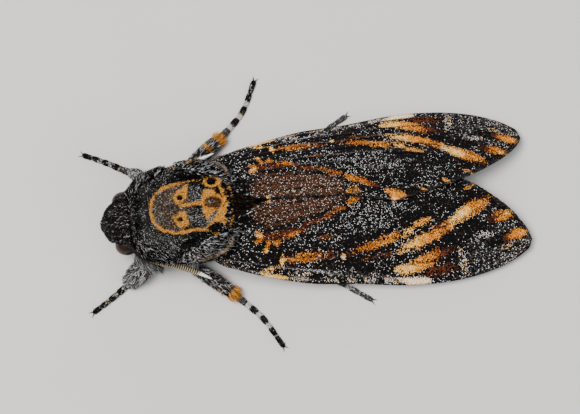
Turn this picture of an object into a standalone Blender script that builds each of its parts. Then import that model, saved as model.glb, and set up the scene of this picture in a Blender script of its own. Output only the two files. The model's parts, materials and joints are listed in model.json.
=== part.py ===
"""A death's head hawkmoth at rest, life size, in metres with +Z up.

The moth faces -X, with its wings closed like a roof over the abdomen and its feet flat on the
floor. Everything is shaped in millimetres, with X = 0 at the middle of the thorax, and the last
function brings it to metres, with the origin on the floor under the middle of the moth.
"""

import bmesh
import bpy
import numpy as np
from mathutils import Matrix

METRES = 0.001
SWELL = 0.34  # how far a neighbour is swollen before it cuts a piece, which leaves the gap
SMOOTH_ANGLE = 50.0
LEFT, RIGHT = -1, 1

# Outlines of the body. Each row: x, half width, top z, bottom z.
THORAX = (
    (-11.6, 5.6, 12.9, 3.8),
    (-9.5, 6.9, 14.1, 3.2),
    (-7.0, 8.0, 15.1, 2.7),
    (-4.0, 8.8, 15.9, 2.3),
    (-1.0, 9.2, 16.4, 2.1),
    (3.0, 9.2, 16.4, 2.2),
    (6.0, 8.8, 15.9, 2.6),
    (10.0, 7.6, 14.6, 3.6),
)
HEAD = (
    (-16.4, 3.7, 9.2, 2.9),
    (-15.0, 4.1, 10.0, 2.5),
    (-13.0, 4.6, 11.0, 2.3),
    (-11.0, 4.9, 12.0, 2.8),
    (-7.5, 4.4, 12.6, 4.6),
)
ABDOMEN = (
    (5.0, 7.0, 12.4, 3.2),
    (10.0, 7.3, 12.4, 2.3),
    (14.0, 7.3, 12.0, 1.9),
    (20.0, 7.0, 11.2, 1.7),
    (26.0, 6.2, 10.0, 1.6),
    (32.0, 5.0, 8.6, 1.7),
    (37.0, 3.6, 7.1, 2.2),
    (41.0, 2.4, 6.0, 3.0),
)
THORAX_ENDS = (3.2, 4.6)  # lengths over which the front and the back round off
HEAD_ENDS = (3.0, 1.5)
ABDOMEN_ENDS = (2.0, 3.0)
WIDEST_LEVEL = 0.46  # height of the widest line, as a share of a section's height
SECTION_POWER = 2.2  # 2 is an ellipse, more is squarer
THORAX_GRID = (15, 24)  # stations and sides
HEAD_GRID = (9, 18)
ABDOMEN_SIDES = 20
FIRST_RING, RING_LENGTH, RINGS = 10.5, 3.7, 7
RING_STEP = 0.22  # how far each ring of the abdomen stands over the next
EYE_CENTRE = (-12.7, 4.15, 5.6)
EYE_RADII = (2.2, 1.95, 2.35)
EYE_GRID = (16, 10)

# Fore wing seen from above, on its own side of the body: x along the body, y outwards.
COSTA = (
    (2.0, 7.0), (4.4, 9.9), (8.3, 11.4), (15.0, 13.3), (21.0, 14.6), (30.0, 15.4), (40.0, 16.5),
    (47.0, 16.5), (53.0, 15.7), (58.2, 14.2), (61.6, 12.5), (63.2, 11.2), (63.6, 10.0),
)
TERMEN = ((63.6, 10.0), (63.0, 8.9), (60.8, 6.8), (56.8, 4.6), (49.0, 1.5), (42.0, -0.4), (38.2, -1.6))
INNER = ((8.5, 2.6), (10.5, 1.6), (13.0, 0.8), (16.0, 0.4), (22.0, 0.3), (30.0, -0.2), (38.2, -1.6))
TUCK = 4.4  # how far the left wing slides past the midline, under the right one
TUCK_GROWTH = 1.7  # how fast that sideways slide builds up from the wing's front edge
LIFT = 1.15  # how far the right wing rides over the left one
LIFT_ACROSS = (5.6, 10.8)  # distances from the midline between which that lift dies out
LIFT_ALONG = (8.0, 14.0)  # and the stretch over which it builds up behind the thorax
WING_THICKNESS, WING_ROOT_THICKNESS, WING_ROOT_SHARE = 0.55, 1.3, 0.16
VEIN_HEIGHT = 0.2
VEIN_HALF_WIDTH = 0.011  # as a share of the way from the front edge to the inner margin
FORE_VEINS = (0.055, 0.13, 0.22, 0.32, 0.43, 0.54, 0.65, 0.76, 0.88)
FORE_STEPS = 13

# The roof that the closed wings make: heights of its ridge and of the wings' front edges, by x.
RIDGE = (
    (2.0, 13.2), (10.0, 13.8), (14.0, 13.6), (20.0, 13.0), (30.0, 11.6), (38.0, 9.9), (44.0, 8.3),
    (50.0, 6.7), (56.0, 5.1), (60.0, 4.0), (64.0, 3.0),
)
EDGE = (
    (2.0, 9.4), (8.0, 7.4), (12.0, 6.0), (16.0, 5.0), (22.0, 4.0), (30.0, 3.1), (40.0, 2.4),
    (50.0, 2.0), (60.0, 2.0), (64.0, 2.2),
)
ROOF_POWER = 2.2

# Hind wing seen from above. It lies hidden under the fore wing.
HIND_COSTA = (
    (6.6, 6.0), (9.5, 9.3), (14.0, 11.6), (22.0, 13.0), (32.0, 13.8), (40.0, 13.8), (44.0, 12.4),
    (45.4, 10.4),
)
HIND_TERMEN = ((45.4, 10.4), (45.0, 8.6), (43.2, 7.0), (40.4, 5.8), (37.6, 5.2))
HIND_INNER = ((8.6, 5.4), (14.0, 6.1), (20.0, 6.2), (28.0, 5.8), (37.6, 5.2))
HIND_VEINS = (0.1, 0.28, 0.46, 0.64, 0.82)
HIND_STEPS = 9
HIND_DROP = 1.15  # depth of the hind wing's upper face under the fore wing's

# Shoulder lappets, as pads on the thorax: x, angle up from the side in degrees, and half sizes.
TEGULA_X, TEGULA_ANGLE = 3.0, 38.0
TEGULA_HALF_LENGTH, TEGULA_HALF_ANGLE = 5.0, 13.0
TEGULA_CLIMB = 2.4  # degrees up the thorax for each millimetre backwards
TEGULA_GAP, TEGULA_EDGE, TEGULA_CROWN = 0.36, 0.55, 1.15
TEGULA_SIDES = 20

# Feelers: centre lines, and thickness from root to hooked tip.
FEELERS = {
    LEFT: (
        (-12.9, -2.6, 8.2), (-12.0, -4.6, 9.3), (-10.2, -6.7, 9.0), (-7.8, -8.4, 8.0),
        (-4.9, -9.3, 7.0), (-1.2, -10.1, 6.3), (1.4, -11.3, 5.6), (2.7, -12.1, 5.5),
    ),
    RIGHT: (
        (-12.9, 2.6, 8.2), (-12.0, 4.6, 9.3), (-10.2, 6.7, 9.0), (-7.8, 8.4, 8.0),
        (-4.9, 9.3, 7.0), (-0.8, 10.1, 6.4), (2.9, 11.0, 5.8), (5.1, 11.8, 5.6),
    ),
}
FEELER_RADII = (0.42, 0.5, 0.62, 0.64, 0.6, 0.5, 0.18)
FEELER_RINGS = 19
FEELER_RING_DEPTH = 0.1  # how much narrower the feeler is between its rings

PALP = ((-12.8, 1.95, 3.6), (-14.6, 2.0, 2.6), (-16.2, 2.0, 3.8), (-16.4, 1.85, 5.8), (-15.6, 1.7, 7.6))
PALP_RADII = (0.9, 1.1, 1.15, 1.05, 0.7)
TONGUE_CENTRE = (-16.5, 2.35)  # x and z of the coil
TONGUE_RADII = (1.3, 0.55)  # of its outermost and innermost turn
TONGUE_TURNS = 1.35
TONGUE_THICKNESS = 0.3
TONGUE_ROOT = (-13.8, 4.6)

# Legs: hip, knee and ankle in x, y, z, then the bend of the foot and its toe in x, y.
LEGS = {
    "front_left": ((-4.4, -4.2, 5.0), (-9.1, -7.9, 4.0), (-12.5, -10.2, 1.7), (-16.2, -12.9), (-20.4, -15.6)),
    "front_right": ((-4.4, 4.2, 5.0), (-8.3, 8.4, 4.0), (-11.2, 10.5, 1.7), (-15.5, 12.9), (-20.1, 15.0)),
    "middle_left": ((1.0, -4.6, 4.8), (-0.7, -9.0, 3.1), (6.6, -14.8, 1.5), (11.0, -19.2), (14.9, -25.5)),
    "middle_right": ((1.0, 4.6, 4.8), (-0.6, 9.2, 3.1), (6.3, 15.3, 1.5), (10.9, 20.1), (14.0, 26.3)),
    "hind_left": ((3.4, -4.6, 4.8), (10.2, -9.7, 4.2), (20.4, -10.2, 1.5), (27.6, -15.0), (32.4, -18.3)),
    "hind_right": ((3.4, 4.6, 4.8), (10.0, 9.7, 4.2), (19.6, 10.4, 1.5), (26.8, 15.2), (31.0, 17.7)),
}
THIGH_RADIUS = {"front": 1.35, "middle": 1.2, "hind": 1.1}
SHIN_RADIUS = {"front": 1.4, "middle": 1.05, "hind": 0.95}
SHIN_BOW = {"front": 0.3, "middle": 0.5, "hind": 0.6}  # how far the shin arches upwards
FOOT_RADII = (0.7, 0.62, 0.54, 0.5)
FOOT_HEIGHT = 0.36  # of its centre line over the floor
FOOT_JOINTS = 5
FOOT_WAIST = 0.86  # thickness at a foot's joints, against the middle of its segments
SPURS = {"front": (), "middle": (0.93,), "hind": (0.6, 0.93)}  # their places along the shin
SPUR_LENGTH, SPUR_RADIUS, SPUR_SPREAD = 2.4, 0.3, 32.0
CLAW_LENGTH, CLAW_RADIUS, CLAW_SPREAD, CLAW_SLOPE = 1.3, 0.24, 24.0, -0.1
CLAW_OFFSET, CLAW_ROOT = 0.16, 0.55  # how far aside and back in the foot a claw starts

FINISHES = {  # colour and roughness
    "dark_fur": ((0.035, 0.033, 0.034), 0.85),
    "head_fur": ((0.045, 0.038, 0.03), 0.85),
    "fore_wing": ((0.06, 0.05, 0.045), 0.7),
    "hind_wing": ((0.62, 0.36, 0.06), 0.7),
    "abdomen_fur": ((0.45, 0.28, 0.08), 0.8),
    "eye": ((0.045, 0.018, 0.01), 0.2),
    "feeler": ((0.06, 0.05, 0.04), 0.6),
    "leg": ((0.06, 0.06, 0.065), 0.75),
    "tongue": ((0.12, 0.05, 0.02), 0.4),
}


def curve_through(knots, values, at):
    """Smooth cubic curve through the values at the knots, read at the given places."""
    knots, values = np.asarray(knots, float), np.asarray(values, float)
    at = np.clip(np.asarray(at, float), knots[0], knots[-1])
    slopes = np.gradient(values, knots, axis=0)
    i = np.clip(np.searchsorted(knots, at, side="right") - 1, 0, len(knots) - 2)
    width = knots[i + 1] - knots[i]
    t = (at - knots[i]) / width
    if values.ndim > 1:
        t, width = t[..., None], width[..., None]
    start = (1 + 2 * t) * (1 - t) ** 2 * values[i] + t * (1 - t) ** 2 * width * slopes[i]
    end = t * t * (3 - 2 * t) * values[i + 1] + t * t * (t - 1) * width * slopes[i + 1]
    return start + end


def along(points, shares):
    """Places at shares 0 to 1 of the length of a smooth curve through the points."""
    points = np.asarray(points, float)
    steps = np.linalg.norm(np.diff(points, axis=0), axis=1)
    return curve_through(np.append(0, np.cumsum(steps)) / steps.sum(), points, shares)


def by_x(table, x):
    """The second column of a table as a smooth function of its first, x."""
    table = np.asarray(table, float)
    return curve_through(table[:, 0], table[:, 1], x)


def ease(low, high, at):
    """0 up to low, 1 from high on, smooth between."""
    t = np.clip((np.asarray(at, float) - low) / (high - low), 0, 1)
    return t * t * (3 - 2 * t)


def unit(vectors):
    """Vectors of length one."""
    return vectors / np.linalg.norm(vectors, axis=-1, keepdims=True)


def finish(name):
    """The material with this name, made once."""
    if name in bpy.data.materials:
        return bpy.data.materials[name]
    colour, roughness = FINISHES[name]
    made = bpy.data.materials.new(name)
    made.use_nodes = True
    shader = made.node_tree.nodes["Principled BSDF"]
    shader.inputs["Base Color"].default_value = (*colour, 1)
    shader.inputs["Roughness"].default_value = roughness
    return made


def new_object(name, mesh, finish_name):
    """An object with this mesh among the moth's parts, shaded smooth."""
    mesh.shade_smooth()
    mesh.set_sharp_from_angle(angle=np.radians(SMOOTH_ANGLE))
    mesh.materials.clear()
    mesh.materials.append(finish(finish_name))
    made = bpy.data.objects.new(name, mesh)
    moth.objects.link(made)
    return made


def solid(name, points, faces, finish_name):
    """An object made from the points and faces of a closed surface, turned to face outwards."""
    mesh = bpy.data.meshes.new(name)
    mesh.from_pydata(np.asarray(points, float).tolist(), [], faces)
    shape = bmesh.new()
    shape.from_mesh(mesh)
    bmesh.ops.recalc_face_normals(shape, faces=shape.faces)
    shape.to_mesh(mesh)
    shape.free()
    return new_object(name, mesh, finish_name)


def loft(name, rings, first_pole, last_pole, finish_name):
    """A closed surface through rings of equally many points, with a pole at each end."""
    rings = np.asarray(rings, float)
    count, sides = rings.shape[:2]
    points = np.vstack([rings.reshape(-1, 3), first_pole, last_pole])
    first_row, last_row = np.arange(sides), (count - 1) * sides + np.arange(sides)
    faces = []
    for row, pole in ((first_row, count * sides), (last_row, count * sides + 1)):
        faces += [(pole, int(a), int(b)) for a, b in zip(row, np.roll(row, -1))]
    for i in range(count - 1):
        for a, b in zip(first_row, np.roll(first_row, -1)):
            low, high = i * sides, (i + 1) * sides
            faces.append((low + int(a), low + int(b), high + int(b), high + int(a)))
    return solid(name, points, faces, finish_name)


def is_closed(mesh):
    """Whether a mesh has faces, and two of them at every edge."""
    shape = bmesh.new()
    shape.from_mesh(mesh)
    closed = len(shape.faces) > 0 and all(edge.is_manifold for edge in shape.edges)
    shape.free()
    return closed


def keep_largest(node):
    """Drop all but the largest closed surface of a node."""
    shape = bmesh.new()
    shape.from_mesh(node.data)
    surfaces, seen = [], set()
    for start in shape.faces:
        if start in seen:
            continue
        surface, waiting = [], [start]
        seen.add(start)
        while waiting:
            face = waiting.pop()
            surface.append(face)
            near = {other for edge in face.edges for other in edge.link_faces} - seen
            seen |= near
            waiting += near
        surfaces.append(surface)
    surfaces.sort(key=lambda surface: sum(face.calc_area() for face in surface))
    scraps = [face for surface in surfaces[:-1] for face in surface]
    bmesh.ops.delete(shape, geom=scraps, context="FACES")
    shape.to_mesh(node.data)
    shape.free()


def combine(node, operation, others):
    """Join the others to a node, or cut them from it, and use them up.

    The exact solver does it, or the manifold one where the exact one leaves no closed mesh.
    """
    group = bpy.data.collections.new("tools")
    bpy.context.scene.collection.children.link(group)
    for other in others:
        for place in list(other.users_collection):
            place.objects.unlink(other)
        group.objects.link(other)
    boolean = node.modifiers.new("combine", "BOOLEAN")
    boolean.operation = operation
    boolean.operand_type = "COLLECTION"
    boolean.collection = group
    for solver in ("EXACT", "MANIFOLD"):
        boolean.solver = solver
        graph = bpy.context.evaluated_depsgraph_get()
        mesh = bpy.data.meshes.new_from_object(node.evaluated_get(graph))
        if is_closed(mesh):
            break
    node.modifiers.clear()
    node.data = mesh
    for other in others:
        bpy.data.objects.remove(other)
    bpy.data.collections.remove(group)
    keep_largest(node)


def clear_of(node, *neighbours):
    """Cut a node back from its neighbours, so that a thin gap parts them."""
    for neighbour in neighbours:
        mesh = neighbour.data.copy()
        places = np.empty(len(mesh.vertices) * 3)
        normals = np.empty(len(mesh.vertices) * 3)
        mesh.vertices.foreach_get("co", places)
        mesh.vertex_normals.foreach_get("vector", normals)
        mesh.vertices.foreach_set("co", places + SWELL * normals)
        mesh.update()
        cutter = bpy.data.objects.new("swollen", mesh)
        combine(node, "DIFFERENCE", [cutter])


def section(table, ends, x, angle, swell=0.0):
    """Points on a body's skin at stations x and angles, in radians up from its right side.

    A section is a superellipse whose upper and lower halves have their own heights. It shrinks
    as a circle does over the end lengths, and swell widens it all round.
    """
    table = np.asarray(table, float)
    x, angle, swell = np.broadcast_arrays(np.asarray(x, float), angle, swell)
    half_width, top, bottom = np.moveaxis(curve_through(table[:, 0], table[:, 1:], x), -1, 0)
    front = np.clip((table[0, 0] + ends[0] - x) / ends[0], 0, 1)
    back = np.clip((x - table[-1, 0] + ends[1]) / ends[1], 0, 1)
    shrink = np.sqrt((1 - front**2) * (1 - back**2))
    level = bottom + WIDEST_LEVEL * (top - bottom)
    across = np.sign(np.cos(angle)) * np.abs(np.cos(angle)) ** (2 / SECTION_POWER)
    up = np.sign(np.sin(angle)) * np.abs(np.sin(angle)) ** (2 / SECTION_POWER)
    rise = np.where(up > 0, top - level, level - bottom)
    return np.stack([x, (half_width * shrink + swell) * across, level + (rise * shrink + swell) * up], -1)


def body_part(name, table, ends, stations, swell, sides, finish_name):
    """A body part lofted along X through sections at the stations."""
    angles = np.arange(sides) / sides * 2 * np.pi
    rings = section(table, ends, np.asarray(stations)[:, None], angles, np.asarray(swell)[:, None])
    front, back = (section(table, ends, x, 0.0) for x in (table[0][0], table[-1][0]))
    return loft(name, rings, front, back, finish_name)


def rounded_stations(table, count):
    """Stations along a body part, packed towards its round ends."""
    share = (1 - np.cos(np.pi * (np.arange(count) + 0.6) / (count + 0.2))) / 2
    return table[0][0] + (table[-1][0] - table[0][0]) * share


def make_thorax():
    """The furry middle of the body, as one rounded mass."""
    count, sides = THORAX_GRID
    stations = rounded_stations(THORAX, count)
    return body_part("thorax", THORAX, THORAX_ENDS, stations, np.zeros(count), sides, "dark_fur")


def make_abdomen():
    """The abdomen, whose rings each stand a little over the next one."""
    front, back = ABDOMEN[0][0], ABDOMEN[-1][0]
    stations, swell = [front + 0.3, front + 1.0, front + 2.6], [0.0, 0.0, 0.0]
    for ring in range(RINGS):
        start = FIRST_RING + ring * RING_LENGTH
        for share in (0.04, 0.5, 0.94):
            stations.append(start + share * RING_LENGTH)
            swell.append(RING_STEP * share)
    for left in (2.2, 1.0, 0.3):
        stations.append(back - left)
        swell.append(0.0)
    return body_part("abdomen", ABDOMEN, ABDOMEN_ENDS, stations, swell, ABDOMEN_SIDES, "abdomen_fur")


def make_head():
    """The blunt head, before its eyes are let in."""
    count, sides = HEAD_GRID
    stations = rounded_stations(HEAD, count)
    return body_part("head", HEAD, HEAD_ENDS, stations, np.zeros(count), sides, "head_fur")


def make_eye(name, side):
    """One large round eye."""
    bpy.ops.mesh.primitive_uv_sphere_add(segments=EYE_GRID[0], ring_count=EYE_GRID[1], radius=1.0)
    made = bpy.context.object
    mesh = made.data.copy()
    bpy.data.objects.remove(made)
    x, y, z = EYE_CENTRE
    mesh.transform(Matrix.Translation((x, side * y, z)) @ Matrix.Diagonal((*EYE_RADII, 1)))
    return new_object(name, mesh, "eye")


def tube(name, path, radii, finish_name, resolution=2):
    """A closed tube along a path of points, with a radius at each of them."""
    curve = bpy.data.curves.new(name, "CURVE")
    curve.dimensions = "3D"
    curve.bevel_depth = 1.0
    curve.bevel_resolution = resolution
    curve.use_fill_caps = True
    spline = curve.splines.new("POLY")
    spline.points.add(len(path) - 1)
    for point, place, radius in zip(spline.points, path, radii):
        point.co = (*place, 1)
        point.radius = radius
    holder = bpy.data.objects.new(name, curve)
    moth.objects.link(holder)
    graph = bpy.context.evaluated_depsgraph_get()
    mesh = bpy.data.meshes.new_from_object(holder.evaluated_get(graph))
    bpy.data.objects.remove(holder)
    bpy.data.curves.remove(curve)
    shape = bmesh.new()
    shape.from_mesh(mesh)
    bmesh.ops.remove_doubles(shape, verts=shape.verts, dist=0.0001)
    bmesh.ops.recalc_face_normals(shape, faces=shape.faces)
    shape.to_mesh(mesh)
    shape.free()
    return new_object(name, mesh, finish_name)


def limb(name, route, radii, steps, finish_name, waists=0, resolution=2):
    """A tube on a smooth curve through a route, with round ends, and waists along it if asked."""
    length = np.linalg.norm(np.diff(route, axis=0), axis=1).sum()
    turns = np.radians((18, 54, 90))
    front = radii[0] / length * (1 - np.cos(turns))
    back = 1 - radii[-1] / length * (1 - np.cos(turns[::-1]))
    middle = np.linspace(front[-1], back[0], steps + 1)[1:-1]
    shares = np.concatenate([front, middle, back])
    rounding = np.concatenate([np.sin(turns), np.ones(len(middle)), np.sin(turns[::-1])])
    thickness = curve_through(np.linspace(0, 1, len(radii)), radii, shares) * rounding
    if waists:
        thickness *= 1 - (1 - FOOT_WAIST) * np.cos(np.pi * shares * waists) ** 2
    return tube(name, along(route, shares), thickness, finish_name, resolution)


def make_palp(name, side):
    """One of the two furry palps that stand up against the face."""
    route = [(x, side * y, z) for x, y, z in PALP]
    return limb(name, route, PALP_RADII, 6, "head_fur")


def make_tongue():
    """The short tongue, coiled between the palps, with its root in the head."""
    turn = np.linspace(0, 1, 18)
    angle = np.radians(60) + 2 * np.pi * TONGUE_TURNS * turn
    radius = TONGUE_RADII[0] + (TONGUE_RADII[1] - TONGUE_RADII[0]) * turn
    x = TONGUE_CENTRE[0] + radius * np.cos(angle)
    z = TONGUE_CENTRE[1] + radius * np.sin(angle)
    path = np.stack([x, 0 * x, z], -1)
    path = np.vstack([(TONGUE_ROOT[0], 0, TONGUE_ROOT[1]), path])
    return tube("proboscis", path, [TONGUE_THICKNESS] * len(path), "tongue", resolution=1)


def make_feeler(name, side):
    """A stout feeler, ringed by its comb of bristles, that ends in a small hook."""
    shares = np.linspace(0, 1, 2 * FEELER_RINGS + 1)
    thickness = curve_through(np.linspace(0, 1, len(FEELER_RADII)), FEELER_RADII, shares)
    thickness[1::2] -= FEELER_RING_DEPTH * thickness[1::2] / max(FEELER_RADII)
    return tube(name, along(FEELERS[side], shares), thickness, "feeler", resolution=1)


def make_tegula(name, side):
    """The lappet over a wing's root, as a pad that follows the thorax."""
    def on_thorax(share, turn, height):
        """A point of the pad: share of the way to its rim, turn round it, height over the thorax."""
        x = TEGULA_X + TEGULA_HALF_LENGTH * share * np.cos(turn)
        angle = TEGULA_ANGLE + TEGULA_CLIMB * (x - TEGULA_X) + TEGULA_HALF_ANGLE * share * np.sin(turn)
        angle = np.radians(angle)
        step = 0.01
        place = section(THORAX, THORAX_ENDS, x, angle)
        lengthwise = section(THORAX, THORAX_ENDS, x + step, angle) - place
        crosswise = section(THORAX, THORAX_ENDS, x, angle + step) - place
        place = place + unit(np.cross(crosswise, lengthwise)) * height
        return place * (1, side, 1)

    turns = np.arange(TEGULA_SIDES) / TEGULA_SIDES * 2 * np.pi
    rings = [on_thorax(share, turns, TEGULA_GAP) for share in (0.5, 1.0)]
    for share in (1.0, 0.8, 0.45):
        height = TEGULA_EDGE + (TEGULA_CROWN - TEGULA_EDGE) * (1 - share**2)
        rings.append(on_thorax(share, turns, TEGULA_GAP + height))
    under, over = (on_thorax(0.0, 0.0, TEGULA_GAP + height) for height in (0.0, TEGULA_CROWN))
    return loft(name, rings, under, over, "dark_fur")


def rows_across(veins):
    """Places of the grid's rows from a wing's front edge (0) to its inner margin (1).

    Each vein takes a row on its crest and one on each side of it.
    """
    rows = [0.0, 1.0]
    for vein in veins:
        rows += [vein - VEIN_HALF_WIDTH, vein, vein + VEIN_HALF_WIDTH]
    return np.array(sorted(rows))


def wing_plan(costa, termen, inner, steps, rows):
    """A grid over a wing's outline, seen from above, that follows its four edges."""
    u = np.linspace(0, 1, steps + 1)
    front, back = along(costa, u)[:, None], along(inner, u)[:, None]
    root = np.array(costa[0]) + rows[:, None] * (np.array(inner[0]) - costa[0])
    tip = along(termen, rows)
    u, v = u[:, None, None], rows[None, :, None]
    corners = (1 - u) * (1 - v) * costa[0] + u * (1 - v) * np.array(costa[-1])
    corners = corners + (1 - u) * v * inner[0] + u * v * np.array(inner[-1])
    return (1 - v) * front + v * back + (1 - u) * root + u * tip - corners


def roof(x, y):
    """Height of the closed wings' roof over a place on the floor."""
    ridge, edge, width = by_x(RIDGE, x), by_x(EDGE, x), by_x(COSTA, x)
    return edge + (ridge - edge) * (1 - np.minimum(np.abs(y) / width, 1.0) ** ROOF_POWER)


def sheet_normals(grid):
    """Upward normals of a surface given as a grid of points."""
    normals = unit(np.cross(np.gradient(grid, axis=0), np.gradient(grid, axis=1)))
    return normals * np.sign(normals[..., 2:])


def sheet(name, grid, ridges, thickness, finish_name):
    """A closed sheet under a grid of points, with ridges of the given heights on its upper face.

    Both faces are split into triangles alike, so that they can't cross where the sheet curves.
    """
    normals = sheet_normals(grid)
    top, bottom = grid + normals * ridges, grid - normals * thickness
    count, width = grid.shape[:2]
    index = np.arange(count * width).reshape(count, width)
    a, b, c, d = index[:-1, :-1], index[1:, :-1], index[1:, 1:], index[:-1, 1:]
    upper = np.stack([a, b, c, a, c, d], -1).reshape(-1, 3)
    rim = np.concatenate([index[:-1, 0], index[-1, :-1], index[:0:-1, -1], index[0, :0:-1]])
    after, under = np.roll(rim, -1), index.size
    wall = np.stack([rim, after, after + under, rim, after + under, rim + under], -1).reshape(-1, 3)
    faces = np.vstack([upper, upper[:, ::-1] + under, wall[:, ::-1]])
    points = np.vstack([top.reshape(-1, 3), bottom.reshape(-1, 3)])
    return solid(name, points, faces.tolist(), finish_name)


def vein_ridges(rows, veins):
    """Heights of the grid's rows over a wing's membrane, where veins run along some of them."""
    on_vein = np.isclose(rows[:, None], np.array(veins)[None, :]).any(axis=1)
    return np.where(on_vein, VEIN_HEIGHT, 0.0)[None, :, None]


def make_fore_wing(name, side):
    """A fore wing: the right one rides over the left one behind the thorax."""
    rows = rows_across(FORE_VEINS)
    plan = wing_plan(COSTA, TERMEN, INNER, FORE_STEPS, rows)
    u, v = np.linspace(0, 1, FORE_STEPS + 1)[:, None], rows[None, :]
    x, y = plan[..., 0], plan[..., 1] * side
    if side == LEFT:
        y = y + TUCK * u * np.sin(np.pi / 2 * np.minimum(v * TUCK_GROWTH, 1))
    z = roof(x, y)
    if side == RIGHT:
        z = z + LIFT * (1 - ease(*LIFT_ACROSS, np.abs(y))) * ease(*LIFT_ALONG, x)
    grid = np.stack([x, y, z], -1)
    at_root = 1 - ease(0, WING_ROOT_SHARE, u)
    thickness = WING_THICKNESS + (WING_ROOT_THICKNESS - WING_THICKNESS) * at_root
    return sheet(name, grid, vein_ridges(rows, FORE_VEINS), thickness[..., None], "fore_wing")


def make_hind_wing(name, side):
    """A hind wing, folded away under the fore wing."""
    rows = rows_across(HIND_VEINS)
    plan = wing_plan(HIND_COSTA, HIND_TERMEN, HIND_INNER, HIND_STEPS, rows)
    x, y = plan[..., 0], plan[..., 1] * side
    grid = np.stack([x, y, roof(x, y)], -1)
    grid = grid - sheet_normals(grid) * HIND_DROP
    return sheet(name, grid, vein_ridges(rows, HIND_VEINS), WING_THICKNESS, "hind_wing")


def spike(root, direction, length, radius, finish_name):
    """A spur or claw: a thin cone that starts at its root and points along a direction."""
    shares = np.array([0.0, 0.6, 1.0])
    path = np.asarray(root) + np.outer(shares * length, direction)
    return tube("spike", path, radius * np.array([1.0, 0.75, 0.25]), finish_name, resolution=1)


def make_leg(name, hip, knee, ankle, bend, toe, trunk):
    """One leg: a thigh, a shin with its spurs, and a foot with claws that lies on the floor."""
    pair = name.split("_")[0]
    hip, knee, ankle = (np.array(place) for place in (hip, knee, ankle))
    thick = THIGH_RADIUS[pair]
    thigh = limb(f"leg_{name}_femur", (hip, (hip + knee) / 2, knee), (thick, thick, 0.85 * thick), 4, "leg")
    clear_of(thigh, *trunk)

    thick = SHIN_RADIUS[pair]
    middle = (knee + ankle) / 2 + (0, 0, SHIN_BOW[pair])
    shin = limb(f"leg_{name}_tibia", (knee, middle, ankle), (0.8 * thick, thick, 0.75 * thick), 5, "leg")
    forwards = unit(ankle - knee)
    sideways = unit(np.cross(forwards, (0, 0, 1)))
    spurs = []
    for share in SPURS[pair]:
        root = along((knee, middle, ankle), share)
        for way in (LEFT, RIGHT):
            spread = np.radians(SPUR_SPREAD)
            direction = forwards * np.cos(spread) + sideways * np.sin(spread) * way
            direction[2] = max(direction[2], -0.12)
            spurs.append(spike(root, unit(direction), SPUR_LENGTH, SPUR_RADIUS, "leg"))
    if spurs:
        combine(shin, "UNION", spurs)
    clear_of(shin, thigh, *trunk)

    route = [ankle, (0.72 * ankle[0] + 0.28 * bend[0], 0.72 * ankle[1] + 0.28 * bend[1], FOOT_HEIGHT + 0.35)]
    route += [(*bend, FOOT_HEIGHT), (*toe, FOOT_HEIGHT)]
    foot = limb(f"leg_{name}_tarsus", route, FOOT_RADII, 2 * FOOT_JOINTS, "leg", FOOT_JOINTS, 1)
    heading = np.arctan2(toe[1] - bend[1], toe[0] - bend[0])
    claws = []
    for way in (LEFT, RIGHT):
        turn = heading + way * np.radians(CLAW_SPREAD)
        direction = unit(np.array([np.cos(turn), np.sin(turn), CLAW_SLOPE]))
        aside = way * CLAW_OFFSET * np.array([-np.sin(heading), np.cos(heading), 0])
        root = np.array([*toe, FOOT_HEIGHT]) + aside - direction * CLAW_ROOT
        claws.append(spike(root, direction, CLAW_LENGTH, CLAW_RADIUS, "leg"))
    combine(foot, "UNION", claws)
    clear_of(foot, shin)
    bpy.ops.mesh.primitive_cube_add(size=2.0)
    floor = bpy.context.object
    floor.data.transform(Matrix.Translation((0, 0, -50)) @ Matrix.Diagonal((100, 100, 50, 1)))
    combine(foot, "DIFFERENCE", [floor])


def bring_to_metres():
    """Centre the moth over the origin and scale every mesh from millimetres to metres."""
    corners = []
    for node in moth.objects:
        places = np.empty(len(node.data.vertices) * 3)
        node.data.vertices.foreach_get("co", places)
        corners += [places.reshape(-1, 3).min(axis=0), places.reshape(-1, 3).max(axis=0)]
    middle = (np.min(corners, axis=0) + np.max(corners, axis=0)) / 2
    place = Matrix.Scale(METRES, 4) @ Matrix.Translation((-middle[0], -middle[1], 0))
    for node in moth.objects:
        node.data.transform(place)


for item in list(bpy.data.objects):
    bpy.data.objects.remove(item)
moth = bpy.data.collections.new("hawkmoth")
bpy.context.scene.collection.children.link(moth)

thorax = make_thorax()
abdomen = make_abdomen()
clear_of(abdomen, thorax)
head = make_head()
clear_of(head, thorax)
for side, side_name in ((LEFT, "left"), (RIGHT, "right")):
    eye = make_eye(f"eye_{side_name}", side)
    clear_of(eye, thorax)
    clear_of(head, eye)
    fore_wing = make_fore_wing(f"forewing_{side_name}", side)
    clear_of(fore_wing, thorax)
    clear_of(make_hind_wing(f"hindwing_{side_name}", side), thorax, abdomen)
    clear_of(make_tegula(f"tegula_{side_name}", side), fore_wing)
    clear_of(make_feeler(f"antenna_{side_name}", side), head, thorax, eye)
    clear_of(make_palp(f"palp_{side_name}", side), head)
clear_of(make_tongue(), head)
for leg_name, places in LEGS.items():
    make_leg(leg_name, *places, trunk=(thorax, abdomen))
bring_to_metres()
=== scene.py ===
import json
import logging
from dataclasses import dataclass, field
from enum import Enum, IntEnum

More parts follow.
